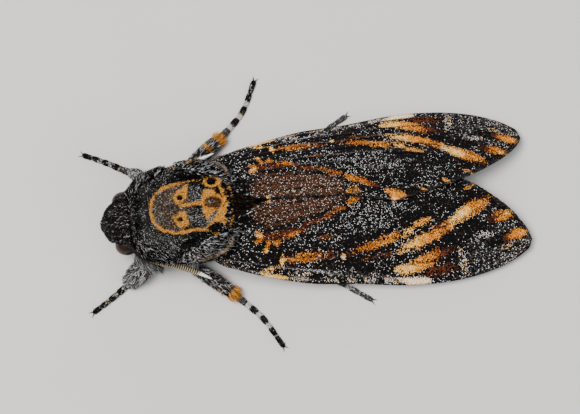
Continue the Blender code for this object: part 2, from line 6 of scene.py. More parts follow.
import bpy
import numpy as np
from bpy.types import Material, NodeSocket, Object
from mathutils import Matrix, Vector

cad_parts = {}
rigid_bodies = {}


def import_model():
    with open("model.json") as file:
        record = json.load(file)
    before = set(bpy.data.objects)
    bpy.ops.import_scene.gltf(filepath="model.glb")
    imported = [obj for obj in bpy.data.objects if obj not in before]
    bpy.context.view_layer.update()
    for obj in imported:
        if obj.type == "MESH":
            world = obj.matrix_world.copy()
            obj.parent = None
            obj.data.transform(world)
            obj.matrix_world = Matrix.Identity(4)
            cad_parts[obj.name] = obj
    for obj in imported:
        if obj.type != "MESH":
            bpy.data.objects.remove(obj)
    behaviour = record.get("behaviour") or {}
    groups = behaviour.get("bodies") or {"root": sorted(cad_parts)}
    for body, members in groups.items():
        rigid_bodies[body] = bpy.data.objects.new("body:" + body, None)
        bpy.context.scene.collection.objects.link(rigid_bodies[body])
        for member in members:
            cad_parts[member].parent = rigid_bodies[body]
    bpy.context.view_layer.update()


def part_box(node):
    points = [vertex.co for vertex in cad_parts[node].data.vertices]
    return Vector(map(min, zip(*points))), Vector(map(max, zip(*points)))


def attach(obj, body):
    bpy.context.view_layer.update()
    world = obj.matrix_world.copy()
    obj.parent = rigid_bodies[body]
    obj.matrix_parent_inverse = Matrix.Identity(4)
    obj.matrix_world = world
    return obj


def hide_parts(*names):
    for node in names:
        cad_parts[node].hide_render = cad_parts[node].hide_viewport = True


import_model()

log = logging.getLogger("hawkmoth")
Array = np.ndarray
Points = tuple[tuple[float, ...], ...]
Triple = tuple[float, float, float]

# Every shape is worked out in millimetres, with X = 0 at the middle of the thorax, Y = 0 on the
# moth's midline and the floor at Z = 0. The moth faces -X. to_row() brings places to the frame, by
# the front end of the thorax.
THORAX_FRONT = -11.6


class Side(IntEnum):
    """The moth's own left and right, as the sign of Y."""

    LEFT = -1
    RIGHT = 1

    @property
    def word(self) -> str:
        """The side as it stands in names."""
        return self.name.lower()


class Tone(Enum):
    """The pigments of the moth's scales, as linear colours."""

    BLACK = (0.0028, 0.0026, 0.0026)
    GREY = (0.10, 0.098, 0.102)
    BROWN = (0.088, 0.037, 0.015)
    MAROON = (0.150, 0.030, 0.009)
    ORANGE = (0.64, 0.205, 0.016)
    CREAM = (0.96, 0.50, 0.10)
    FROST = (0.84, 0.83, 0.81)


TONES = tuple(Tone)
BLACK, GREY, BROWN, MAROON, ORANGE, CREAM, FROST = TONES
Mixture = dict[Tone, float]


# Curves, frames and random grain

def curve_through(knots: Array, values: Array, at: Array) -> Array:
    """Read a smooth cubic curve through values at knots.

    Args:
        knots: Rising positions of the values.
        values: A value or a row of values for each knot.
        at: Positions to read.

    Returns:
        Between two knots, the cubic with their values and their central slopes.
    """
    knots, values = np.asarray(knots, float), np.asarray(values, float)
    at = np.clip(np.asarray(at, float), knots[0], knots[-1])
    slopes = np.gradient(values, knots, axis=0)
    i = np.clip(np.searchsorted(knots, at, side="right") - 1, 0, len(knots) - 2)
    width = knots[i + 1] - knots[i]
    t = (at - knots[i]) / width
    if values.ndim > 1:
        t, width = t[..., None], width[..., None]
    start = (1 + 2 * t) * (1 - t) ** 2 * values[i] + t * (1 - t) ** 2 * width * slopes[i]
    end = t * t * (3 - 2 * t) * values[i + 1] + t * t * (t - 1) * width * slopes[i + 1]
    return start + end


def along(points: Points, shares: Array) -> Array:
    """Places at shares 0 to 1 of the length of a smooth curve through the points."""
    steps = np.linalg.norm(np.diff(points, axis=0), axis=1)
    return curve_through(np.append(0, np.cumsum(steps)) / steps.sum(), points, shares)


def by_x(table: Points, x: Array) -> Array:
    """The other columns of a table as a smooth function of its first, x."""
    table = np.asarray(table, float)
    return curve_through(table[:, 0], table[:, 1:].squeeze(), x)


def ease(low: float, high: float, at: Array) -> Array:
    """0 up to low, 1 from high on, smooth between."""
    t = np.clip((np.asarray(at, float) - low) / (high - low), 0, 1)
    return t * t * (3 - 2 * t)


def unit(vectors: Array) -> Array:
    """Vectors of length one."""
    return vectors / np.maximum(np.linalg.norm(vectors, axis=-1, keepdims=True), 1e-9)


def in_plane(vectors: Array, normals: Array) -> Array:
    """Vectors laid down onto the planes that the normals stand on, and made length one."""
    return unit(vectors - normals * (vectors * normals).sum(-1, keepdims=True))


def turns(count: int) -> Array:
    """Angles at equal steps round a full turn."""
    return np.arange(count) / count * 2 * np.pi


def lay(under: Array, cover: Array, over: Array) -> Array:
    """Values with others laid over them, as far as a cover from 0 to 1 says."""
    return under * (1 - cover) + over * cover


def grain(places: Array, size: float, seed: int) -> Array:
    """Smooth random values between 0 and 1.

    Args:
        places: Points in two or three dimensions, in mm.
        size: Width of one cell of the grain, in mm.
        seed: Picks the pattern.

    Returns:
        The eased mean of the hashed numbers on the corners of the cell round each point.
    """
    scaled = np.asarray(places, float) / size
    cell = np.floor(scaled).astype(np.int64)
    share = scaled - cell
    share = share * share * (3 - 2 * share)
    total = np.zeros(scaled.shape[:-1])
    dims = scaled.shape[-1]
    for corner in range(2**dims):
        offset = np.array([(corner >> axis) & 1 for axis in range(dims)])
        key = ((cell + offset) * np.array((73856093, 19349663, 83492791))[:dims]).sum(-1)
        key = (key ^ (seed * 2654435761)) & 0xFFFFFFFF
        key = ((key ^ (key >> 15)) * 2246822519) & 0xFFFFFFFF
        key = ((key ^ (key >> 13)) * 3266489917) & 0xFFFFFFFF
        weight = np.where(offset, share, 1 - share).prod(-1)
        total += weight * ((key ^ (key >> 16)) & 0xFFFF) / 65535
    return total


def to_row(places: Array) -> Array:
    """Bring places to the frame.

    Args:
        places: Their coordinates in mm on the moth's own axes.

    Returns:
        Their coordinates in metres.
    """
    low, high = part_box("thorax")
    shift = np.array((THORAX_FRONT - 1000 * low.x, -500 * (low.y + high.y), 0))
    return (np.asarray(places, float) - shift) * 0.001


# Markings: shapes with a signed distance, laid over one another as mixtures of tones

# Sizes in mm of the grains that make the edges of marks ragged
COARSE_EDGE = 0.8
FINE_EDGE = 0.35


@dataclass(frozen=True)
class Stroke:
    """A band along a line of points, with a half width at each of them."""

    points: Points
    half: float | tuple[float, ...]

    def distance(self, places: Array) -> Array:
        """Measure how far places are outside the band.

        Args:
            places: Points of the plan.

        Returns:
            The distance to the nearest part of the line, less the half width there.
        """
        line = np.asarray(self.points, float)
        halves = np.broadcast_to(self.half, len(line))
        best = np.full(places.shape[:-1], np.inf)
        for a, b, start, end in zip(line[:-1], line[1:], halves[:-1], halves[1:]):
            share = np.clip((places - a) @ (b - a) / ((b - a) @ (b - a)), 0, 1)
            gap = np.linalg.norm(places - a - share[..., None] * (b - a), axis=-1)
            best = np.minimum(best, gap - start - share * (end - start))
        return best


@dataclass(frozen=True)
class Patch:
    """An area inside a polygon."""

    points: Points

    def distance(self, places: Array) -> Array:
        """Measure how far places are outside the polygon.

        Args:
            places: Points of the plan.

        Returns:
            The distance to the nearest side, negative where a line to one side of the place crosses
            the sides an odd number of times.
        """
        ring = np.asarray(self.points, float)
        x, y = places[..., 0], places[..., 1]
        inside = np.zeros(x.shape, bool)
        for a, b in zip(ring, np.roll(ring, -1, axis=0)):
            spans = (a[1] > y) != (b[1] > y)
            rise = b[1] - a[1] if b[1] != a[1] else 1e-9
            inside ^= spans & (x < (b[0] - a[0]) * (y - a[1]) / rise + a[0])
        edge = Stroke(self.points + self.points[:1], 0.0).distance(places)
        return np.where(inside, -edge, edge)


@dataclass(frozen=True)
class Spot:
    """An ellipse with its centre and its two half widths."""

    centre: tuple[float, float]
    halves: tuple[float, float]

    def distance(self, places: Array) -> Array:
        """How far out a point is as a share of the ellipse, less one, times the smaller half width."""
        share = np.linalg.norm((places - np.array(self.centre)) / np.array(self.halves), axis=-1)
        return (share - 1) * min(self.halves)


@dataclass(frozen=True)
class Mark:
    """A shape and the mixture of tones that it lays over what is under it.

    The mixture is one for the whole mark, or several that follow one another at rising x.
    """

    shape: Stroke | Patch | Spot
    mixture: Mixture | tuple[tuple[float, Mixture], ...]
    strength: float = 1.0
    blur: float = 0.22
    wander: float = 0.3

    def cover(self, places: Array, stretch: float = 1.0) -> Array:
        """Work out how much of the mark each place has.

        Args:
            places: Points of the plan.
            stretch: How many times longer than wide the raggedness of the edge is.

        Returns:
            The strength inside the mark, falling to 0 over the blur along its edge, which a coarse
            and a fine grain move in and out.
        """
        drawn = places * np.array((1 / stretch, 1)) * stretch**0.4
        ragged = (grain(drawn, COARSE_EDGE, 11) - 0.5) + 0.6 * (grain(drawn, FINE_EDGE, 12) - 0.5)
        distance = self.shape.distance(places) + self.wander * ragged
        return self.strength * ease(self.blur, -self.blur, distance)

    def shares(self, places: Array) -> Array:
        """Read the mixture that the mark lays.

        Args:
            places: Points of the plan.

        Returns:
            One share for each tone, changing evenly in x between the mixtures of a row.
        """
        if isinstance(self.mixture, dict):
            return weights(self.mixture)
        steps = [place for place, _ in self.mixture]
        table = np.array([weights(mixture) for _, mixture in self.mixture])
        return np.stack([np.interp(places[..., 0], steps, column) for column in table.T], -1)


def weights(mixture: Mixture) -> Array:
    """A mixture of percentages as one share for each tone, which add up to 1."""
    amounts = np.array([mixture.get(tone, 0.0) for tone in TONES])
    return amounts / amounts.sum()


@dataclass(frozen=True)
class Pattern:
    """Marks over a ground, which gives every place its own mixture of tones."""

    ground: Mixture
    cloud: Mixture
    marks: tuple[Mark, ...] = ()
    cloud_size: float = 2.4
    seed: int = 3
    stretch: float = 1.0

    def shares(self, places: Array) -> Array:
        """The mixture at each place of a plan.

        Args:
            places: Points on the plan that the marks are drawn on, in mm.

        Returns:
            One share for each tone: the ground and its cloud mixed by the grain, with each mark
            laid over them in turn.
        """
        drawn = places * np.array((1 / self.stretch, 1))
        broad = grain(drawn, self.cloud_size, self.seed)
        small = grain(drawn, self.cloud_size / 3, self.seed + 1)
        clouded = ease(0.28, 0.72, 0.6 * broad + 0.4 * small)[..., None]
        found = lay(weights(self.ground), clouded, weights(self.cloud))
        for mark in self.marks:
            found = lay(found, mark.cover(places, self.stretch)[..., None], mark.shares(places))
        return found


def mean_colour(shares: Array) -> Array:
    """The colour that a mixture makes from afar."""
    return shares @ np.array([tone.value for tone in TONES])


def picked_colour(shares: Array, chance: Array) -> Array:
    """The colour of the tone that a random number picks from each mixture."""
    index = (chance[..., None] > np.cumsum(shares, axis=-1)[..., :-1]).sum(-1)
    return np.array([tone.value for tone in TONES])[index]


def tuft_colours(shares: Array, rng: np.random.Generator, brightest: float = 1.25) -> Array:
    """A tone for each tuft, picked from its mixture and made darker or lighter at random."""
    colour = picked_colour(shares, rng.random(len(shares)))
    return colour * rng.uniform(0.75, brightest, (len(shares), 1))


# Meshes

@dataclass
class Roots:
    """Places where tufts grow, with the skin's directions there."""

    places: Array
    normals: Array
    lengthwise: Array
    shares: Array

    def only(self, kept: Array) -> "Roots":
        """The roots that a mask keeps."""
        return Roots(self.places[kept], self.normals[kept], self.lengthwise[kept], self.shares[kept])

    def combed(self, rng: np.random.Generator, wild: float) -> Array:
        """Directions lengthwise on the skin, each turned a little at random."""
        return in_plane(unit(self.lengthwise) + wild * rng.normal(size=self.places.shape), self.normals)


@dataclass
class Surface:
    """A surface of two parameters, as a grid of points that runs along it and round it.

    Its outer side is where the step round, crossed with the step along, points.
    """

    grid: Array
    round: bool = True

    def steps(self) -> tuple[Array, Array]:
        """Work out the steps between the points.

        Returns:
            Mean differences to the neighbours along the surface, and to those round it.
        """
        lengthwise = np.gradient(self.grid, axis=0)
        if self.round:
            around = (np.roll(self.grid, -1, axis=1) - np.roll(self.grid, 1, axis=1)) / 2
        else:
            around = np.gradient(self.grid, axis=1)
        return lengthwise, around

    def normals(self) -> Array:
        """Outward directions of length one."""
        lengthwise, around = self.steps()
        return unit(np.cross(around, lengthwise))

    def faces(self) -> Array:
        """Work out the faces.

        Returns:
            The four corners of each cell of the grid, in the order that faces outwards.
        """
        rows, columns = self.grid.shape[:2]
        index = np.arange(rows * columns).reshape(rows, columns)
        after = np.roll(index, -1, axis=1) if self.round else index[:, 1:]
        here = index if self.round else index[:, :-1]
        return np.stack([here[:-1], after[:-1], after[1:], here[1:]], -1).reshape(-1, 4)

    def scatter(self, count: int, seed: int, density: Array | None = None) -> Roots:
        """Spread roots over the surface.

        Args:
            count: How many roots.
            seed: Picks their places.
            density: How thickly each point of the grid is planted, or None for evenly.

        Returns:
            Roots at equal steps through the added-up area, moved at random inside their cells.
        """
        rng = np.random.default_rng(seed)
        lengthwise, around = self.steps()
        area = np.linalg.norm(np.cross(around, lengthwise), axis=-1)
        if density is not None:
            area = area * density
        rows, columns = area.shape
        area = area[:-1] if self.round else area[:-1, :-1]
        total = np.cumsum(area)
        chosen = np.searchsorted(total, (np.arange(count) + rng.random(count)) / count * total[-1])
        chosen = np.minimum(chosen, area.size - 1)
        i, j = np.divmod(chosen, area.shape[1])
        s, t = rng.random((2, count))
        j_next = (j + 1) % columns

        def read(values: Array) -> Array:
            """Mean of a cell's corners, weighed by the place inside it."""
            low, high = (lay(values[row, j], t[:, None], values[row, j_next]) for row in (i, i + 1))
            return lay(low, s[:, None], high)

        shares = np.stack([(i + s) / (rows - 1), (j + t) / columns], -1)
        return Roots(read(self.grid), unit(read(self.normals())), unit(read(lengthwise)), shares)


@dataclass
class Piece:
    """One finished piece: its mesh, material, slot and the solids it stands for."""

    name: str
    slot: str
    material: Material
    replaces: tuple[str, ...] = ()

    def from_faces(
        self, points: Array, quads: Array, triangles: Array = np.empty((0, 3), int)
    ) -> Object:
        """Make the piece from points and faces.

        Args:
            points: Its vertices, in mm.
            quads: Four vertex numbers for each four-sided face.
            triangles: Three vertex numbers for each triangle.

        Returns:
            The object, riding on the root, in place of the solids it stands for.
        """
        mesh = bpy.data.meshes.new(self.name)
        mesh.vertices.add(len(points))
        mesh.vertices.foreach_set("co", to_row(points).astype(np.float32).ravel())
        corners = np.concatenate([quads.ravel(), triangles.ravel()]).astype(np.int32)
        mesh.loops.add(len(corners))
        mesh.loops.foreach_set("vertex_index", corners)
        starts = np.concatenate([np.arange(len(quads)) * 4, quads.size + np.arange(len(triangles)) * 3])
        mesh.polygons.add(len(starts))
        mesh.polygons.foreach_set("loop_start", starts.astype(np.int32))
        mesh.update(calc_edges=True)
        mesh.validate()
        mesh.shade_smooth()
        mesh.materials.append(self.material)
        made = bpy.data.objects.new(self.name, mesh)
        bpy.context.scene.collection.objects.link(made)
        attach(made, "root")
        if self.replaces:
            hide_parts(*self.replaces)
        log.info("%s: %d faces", self.name, len(mesh.polygons))
        return made

    def from_tubes(self, tubes: list[Surface], tints: list[Array] | None = None) -> Object:
        """Make the piece from round surfaces.

        Args:
            tubes: The surfaces, each of which is closed by a fan of faces at either end.
            tints: The colours of each surface's grid, or None for a piece without a Tint.

        Returns:
            The object.
        """
        points, quads, triangles, base = [], [], [], 0
        for part in tubes:
            rows, columns = part.grid.shape[:2]
            index = np.arange(rows * columns).reshape(rows, columns) + base
            poles = part.grid[[0, -1]].mean(axis=1)
            first, last = base + rows * columns, base + rows * columns + 1
            front, back = index[0], index[-1]
            fan = np.stack([np.full(columns, first), np.roll(front, -1), front], -1)
            triangles += [fan, np.stack([np.full(columns, last), back, np.roll(back, -1)], -1)]
            points += [part.grid.reshape(-1, 3), poles]
            quads.append(part.faces() + base)
            base += rows * columns + 2
        made = self.from_faces(np.vstack(points), np.vstack(quads), np.vstack(triangles))
        if tints:
            write_attribute(made, "Tint", np.vstack([with_poles(tint) for tint in tints]))
        return made


def write_attribute(made: Object, name: str, values: Array) -> None:
    """Store a colour for each vertex of a piece."""
    colours = np.pad(values, ((0, 0), (0, 1)), constant_values=1).astype(np.float32)
    made.data.attributes.new(name, "FLOAT_COLOR", "POINT").data.foreach_set("color", colours.ravel())


def write_vector(made: Object, name: str, values: Array) -> None:
    """Store three numbers for each vertex of a piece."""
    layer = made.data.attributes.new(name, "FLOAT_VECTOR", "POINT")
    layer.data.foreach_set("vector", values.astype(np.float32).ravel())


def with_poles(values: Array) -> Array:
    """Values on a round surface's grid, and behind them those of its two poles."""
    return np.vstack([values.reshape(-1, values.shape[-1]), values[0].mean(axis=0), values[-1].mean(axis=0)])


@dataclass
class Tufts:
    """A coat of separate tufts, each a thin three-sided spindle that rises and then lies down.

    Lie holds the directions of the tufts. The shades darken a tuft's colour at its root and at
    its middle: painted shade within the coat. Patch is the width of its own small part of the
    bake map.
    """

    roots: Roots
    lie: Array
    length: Array
    height: Array
    width: Array
    colour: Array
    root_shade: float = 0.3
    middle_shade: float | Array = 0.7
    patch: float = 0.003
    sunk: float = 0.04
    middle_along: float = 0.42
    middle_up: float = 0.8
    lowest: float = 0.02

    def points(self) -> Array:
        """Work out the five corners of each tuft.

        Returns:
            Its root, the three corners of the section at its middle, and its tip.
        """
        n, d = self.roots.normals, self.lie
        across = np.cross(n, d)
        length, height, width = (np.asarray(v)[:, None] for v in (self.length, self.height, self.width))
        root = self.roots.places - self.sunk * n
        middle = self.roots.places + d * length * self.middle_along + n * height * self.middle_up
        tip = self.roots.places + d * length + n * height
        section = ((-0.5, -0.1), (0.5, -0.1), (0.0, 0.35))
        ring = [middle + (across * sideways + n * upwards) * width for sideways, upwards in section]
        points = np.stack([root, *ring, tip], axis=1)
        points[..., 2] = np.maximum(points[..., 2], self.lowest)
        return points

    def build(self, piece: Piece) -> Object:
        """Make the coat, with its colours and its bake map.

        Args:
            piece: Name, slot and material of the coat.

        Returns:
            The object.
        """
        points = self.points()
        count = len(points)
        shape = np.array([(0, 1, 3), (0, 3, 2), (0, 2, 1), (1, 4, 3), (3, 4, 2), (2, 4, 1)])
        triangles = (np.arange(count)[:, None, None] * 5 + shape).reshape(-1, 3)
        made = piece.from_faces(points.reshape(-1, 3), np.empty((0, 4), int), triangles)
        shade = np.full((count, 5, 1), self.root_shade)
        shade[:, 1:4] = np.broadcast_to(self.middle_shade, count)[:, None, None]
        shade[:, 4] = 1.0
        write_attribute(made, "Tint", (self.colour[:, None, :] * shade).reshape(-1, 3))
        spread = np.array(((0.5, 0), (0, 0.5), (1, 0.5), (0.5, 0.7), (0.5, 1)))
        places = self.roots.shares[:, None, :] * (1 - self.patch) + spread * self.patch
        corners = np.empty(len(made.data.loops), np.int32)
        made.data.loops.foreach_get("vertex_index", corners)
        layer = made.data.uv_layers.new(name="OFBake")
        layer.data.foreach_set("uv", places.reshape(-1, 2)[corners].astype(np.float32).ravel())
        return made


def frames(path: Array, up: Array) -> tuple[Array, Array, Array]:
    """Work out three directions at each point of a path.

    Args:
        path: Points of the path.
        up: A direction the path never runs along.

    Returns:
        Directions of length one: along the path, across it and up from it.
    """
    forward = unit(np.gradient(path, axis=0))
    across = unit(np.cross(up, forward))
    return forward, across, np.cross(forward, across)


def tube(path: Array, radii: Array, sides: int, up: tuple[float, ...] = (0, 0, 1)) -> Surface:
    """Make a round surface along a path.

    Args:
        path: Points of the centre line.
        radii: The radius at each of them.
        sides: How many points go round.
        up: A direction the path never runs along.

    Returns:
        At each point of the path, a circle in the plane that stands across it.
    """
    _, across, upward = frames(path, np.asarray(up, float))
    turn = turns(sides)[None, :, None]
    ring = across[:, None] * np.cos(turn) + upward[:, None] * np.sin(turn)
    return Surface(path[:, None] + np.asarray(radii)[:, None, None] * ring)


def rounding(shares: Array, front: float, back: float) -> Array:
    """Thickness of a rod with round ends, quarters of an ellipse that take up these shares of its length."""
    start, end = np.clip(1 - shares / front, 0, 1), np.clip(1 - (1 - shares) / back, 0, 1)
    return np.sqrt(np.maximum((1 - start**2) * (1 - end**2), 4e-4))


# Finishes

class Nodes:
    """A material with nodes, and short ways to add and join them."""

    def __init__(self, name: str) -> None:
        """Start from a principled shader.

        Args:
            name: Name of the material.
        """
        self.material = bpy.data.materials.new(name)
        self.material.use_nodes = True
        self.tree = self.material.node_tree
        self.shader = self.tree.nodes["Principled BSDF"]

    def fill(self, socket: NodeSocket, value: object) -> None:
        """Give an input its value.

        Args:
            socket: The input.
            value: A number, the numbers of a colour or a vector, or an output to link to it.
        """
        if isinstance(value, (int, float)):
            socket.default_value = value
        elif isinstance(value, tuple):
            socket.default_value = (*value, 1)[:len(socket.default_value)]
        else:
            self.tree.links.new(value, socket)

    def node(self, kind: str, inputs: dict, output: int | str = 0, **settings: object) -> NodeSocket:
        """Add a node.

        Args:
            kind: Its type.
            inputs: What its inputs are filled with, by their names or numbers.
            output: Name or number of the output to return.
            settings: Its options, by their names.

        Returns:
            The output.
        """
        node = self.tree.nodes.new(kind)
        for name, value in settings.items():
            setattr(node, name, value)
        for name, value in inputs.items():
            self.fill(node.inputs[name], value)
        return node.outputs[output]

    def surface(self, **values: object) -> None:
        """Fill inputs of the shader, by their names with underscores for spaces."""
        for name, value in values.items():
            self.fill(self.shader.inputs[name.replace("_", " ")], value)

    def attribute(self, name: str, output: str = "Vector") -> NodeSocket:
        """Read a piece's own attribute."""
        return self.node("ShaderNodeAttribute", {}, output, attribute_name=name)

    def places(self) -> NodeSocket:
        """The coordinates of the piece's object."""
        return self.node("ShaderNodeTexCoord", {}, "Object")

    def maths(self, operation: str, first: object, second: object) -> NodeSocket:
        """One sum of two numbers or outputs."""
        return self.node("ShaderNodeMath", {0: first, 1: second}, operation=operation)

    def mix(self, share: object, first: object, second: object, blend: str = "MIX") -> NodeSocket:
        """Two colours mixed, by the share of the second one."""
        inputs = {0: share, 6: first, 7: second}
        return self.node("ShaderNodeMix", inputs, 2, data_type="RGBA", blend_type=blend)

    def shaded(self, colour: object, lightness: NodeSocket) -> NodeSocket:
        """A colour with its three parts multiplied by a lightness."""
        grey = self.node("ShaderNodeCombineColor", dict.fromkeys(range(3), lightness))
        return self.mix(1.0, colour, grey, "MULTIPLY")

    def between(self, value: NodeSocket, low: float, high: float) -> NodeSocket:
        """A value from 0 to 1 brought into a range."""
        return self.node("ShaderNodeMapRange", {"Value": value, "To Min": low, "To Max": high})

    def bump(self, height: NodeSocket, distance: float, strength: float) -> None:
        """Raise the shader's surface by a height, in metres of full rise."""
        inputs = {"Height": height, "Distance": distance, "Strength": strength}
        self.surface(Normal=self.node("ShaderNodeBump", inputs))

    def noise(self, places: NodeSocket, scale: float, detail: float = 3.0) -> NodeSocket:
        """Cloudy noise over coordinates, with this many clouds to the metre."""
        return self.node("ShaderNodeTexNoise", {"Scale": scale, "Detail": detail, "Vector": places}, "Fac")


@dataclass(frozen=True)
class ScaleFinish:
    """Scales on a wing: each cell of a grid of scales picks its own tone from the place's mixture."""

    name: str
    scale_length: float = 0.115
    scale_width: float = 0.08
    disorder: float = 0.85
    lightness: tuple[float, float] = (0.72, 1.22)
    roughness: tuple[float, float] = (0.52, 0.77)
    relief: float = 0.00005

    def make(self) -> Material:
        """Build the material.

        Returns:
            The material. It reads the attributes Plan, PickA and PickB.
        """
        nodes = Nodes(self.name)
        scale = (1 / self.scale_length, 1 / self.scale_width, 0)
        sized = nodes.node("ShaderNodeMapping", {"Scale": scale, "Vector": nodes.attribute("Plan")})
        inputs = {"Scale": 1.0, "Randomness": self.disorder, "Vector": sized}
        cells = nodes.node("ShaderNodeTexVoronoi", inputs, "Color", voronoi_dimensions="2D")
        pick, light, rise = nodes.node("ShaderNodeSeparateColor", {0: cells}).node.outputs[:3]
        colour: object = TONES[0].value
        for layer, name in enumerate(("PickA", "PickB")):
            limits = nodes.node("ShaderNodeSeparateXYZ", {0: nodes.attribute(name)}).node.outputs
            for axis in range(3):
                passed = nodes.maths("GREATER_THAN", pick, limits[axis])
                colour = nodes.mix(passed, colour, TONES[1 + 3 * layer + axis].value)
        nodes.surface(
            Base_Color=nodes.shaded(colour, nodes.between(light, *self.lightness)),
            Roughness=nodes.between(rise, *self.roughness),
            Specular_IOR_Level=0.05,
        )
        dome = nodes.maths("SUBTRACT", 1.0, cells.node.outputs["Distance"])
        nodes.bump(nodes.maths("ADD", dome, nodes.maths("MULTIPLY", rise, 0.8)), self.relief, 0.7)
        return nodes.material


@dataclass(frozen=True)
class FurFinish:
    """Hair scales, in the piece's own Tint with fine flecks."""

    name: str
    roughness: float = 0.62
    specular: float = 0.06
    fleck: float = 2600.0
    contrast: float = 0.35
    relief: float = 0.0

    def make(self) -> Material:
        """Build the material.

        Returns:
            The material. It reads the attribute Tint and a fine noise.
        """
        nodes = Nodes(self.name)
        place = nodes.places()
        noise = nodes.noise(place, self.fleck, 2.0)
        tint = nodes.attribute("Tint", "Color")
        nodes.surface(
            Base_Color=nodes.shaded(tint, nodes.between(noise, 1 - self.contrast, 1 + self.contrast)),
            Roughness=nodes.between(noise, self.roughness - 0.1, self.roughness + 0.1),
            Specular_IOR_Level=self.specular,
        )
        if self.relief:
            nodes.bump(nodes.noise(place, self.fleck * 1.6, 4.0), self.relief, 0.6)
        return nodes.material


@dataclass(frozen=True)
class SkinFinish(FurFinish):
    """The matt, slightly rough skin under the hair."""

    roughness: float = 0.85
    specular: float = 0.1
    fleck: float = 1800.0
    contrast: float = 0.4
    relief: float = 0.0001


@dataclass(frozen=True)
class EyeFinish:
    """A dark, glossy compound eye with a fine net of lenses."""

    deep: Triple = (0.005, 0.0025, 0.0018)
    warm: Triple = (0.026, 0.010, 0.005)
    cloud: float = 700.0
    lens: float = 9000.0
    relief: float = 0.000012

    def make(self) -> Material:
        """Build the material.

        Returns:
            Two browns in soft clouds under a thin coat of gloss.
        """
        nodes = Nodes("eye")
        place = nodes.places()
        nodes.surface(
            Base_Color=nodes.mix(nodes.noise(place, self.cloud, 2.0), self.deep, self.warm),
            Roughness=0.22, Specular_IOR_Level=0.25, Coat_Weight=0.08, Coat_Roughness=0.1,
        )
        net = nodes.node("ShaderNodeTexVoronoi", {"Scale": self.lens, "Vector": place}, "Distance")
        nodes.bump(nodes.maths("SUBTRACT", 1.0, net), self.relief, 0.35)
        return nodes.material


@dataclass(frozen=True)
class FloorFinish:
    """A plain, pale, matt floor."""

    colour: Triple = (0.62, 0.61, 0.59)

    def make(self) -> Material:
        """Build the material.

        Returns:
            The colour, with only a trace of unevenness.
        """
        nodes = Nodes("floor")
        low = tuple(0.96 * part for part in self.colour)
        colour = nodes.mix(nodes.noise(nodes.places(), 60.0), low, self.colour)
        nodes.surface(Base_Color=colour, Roughness=0.9)
        return nodes.material


# The body

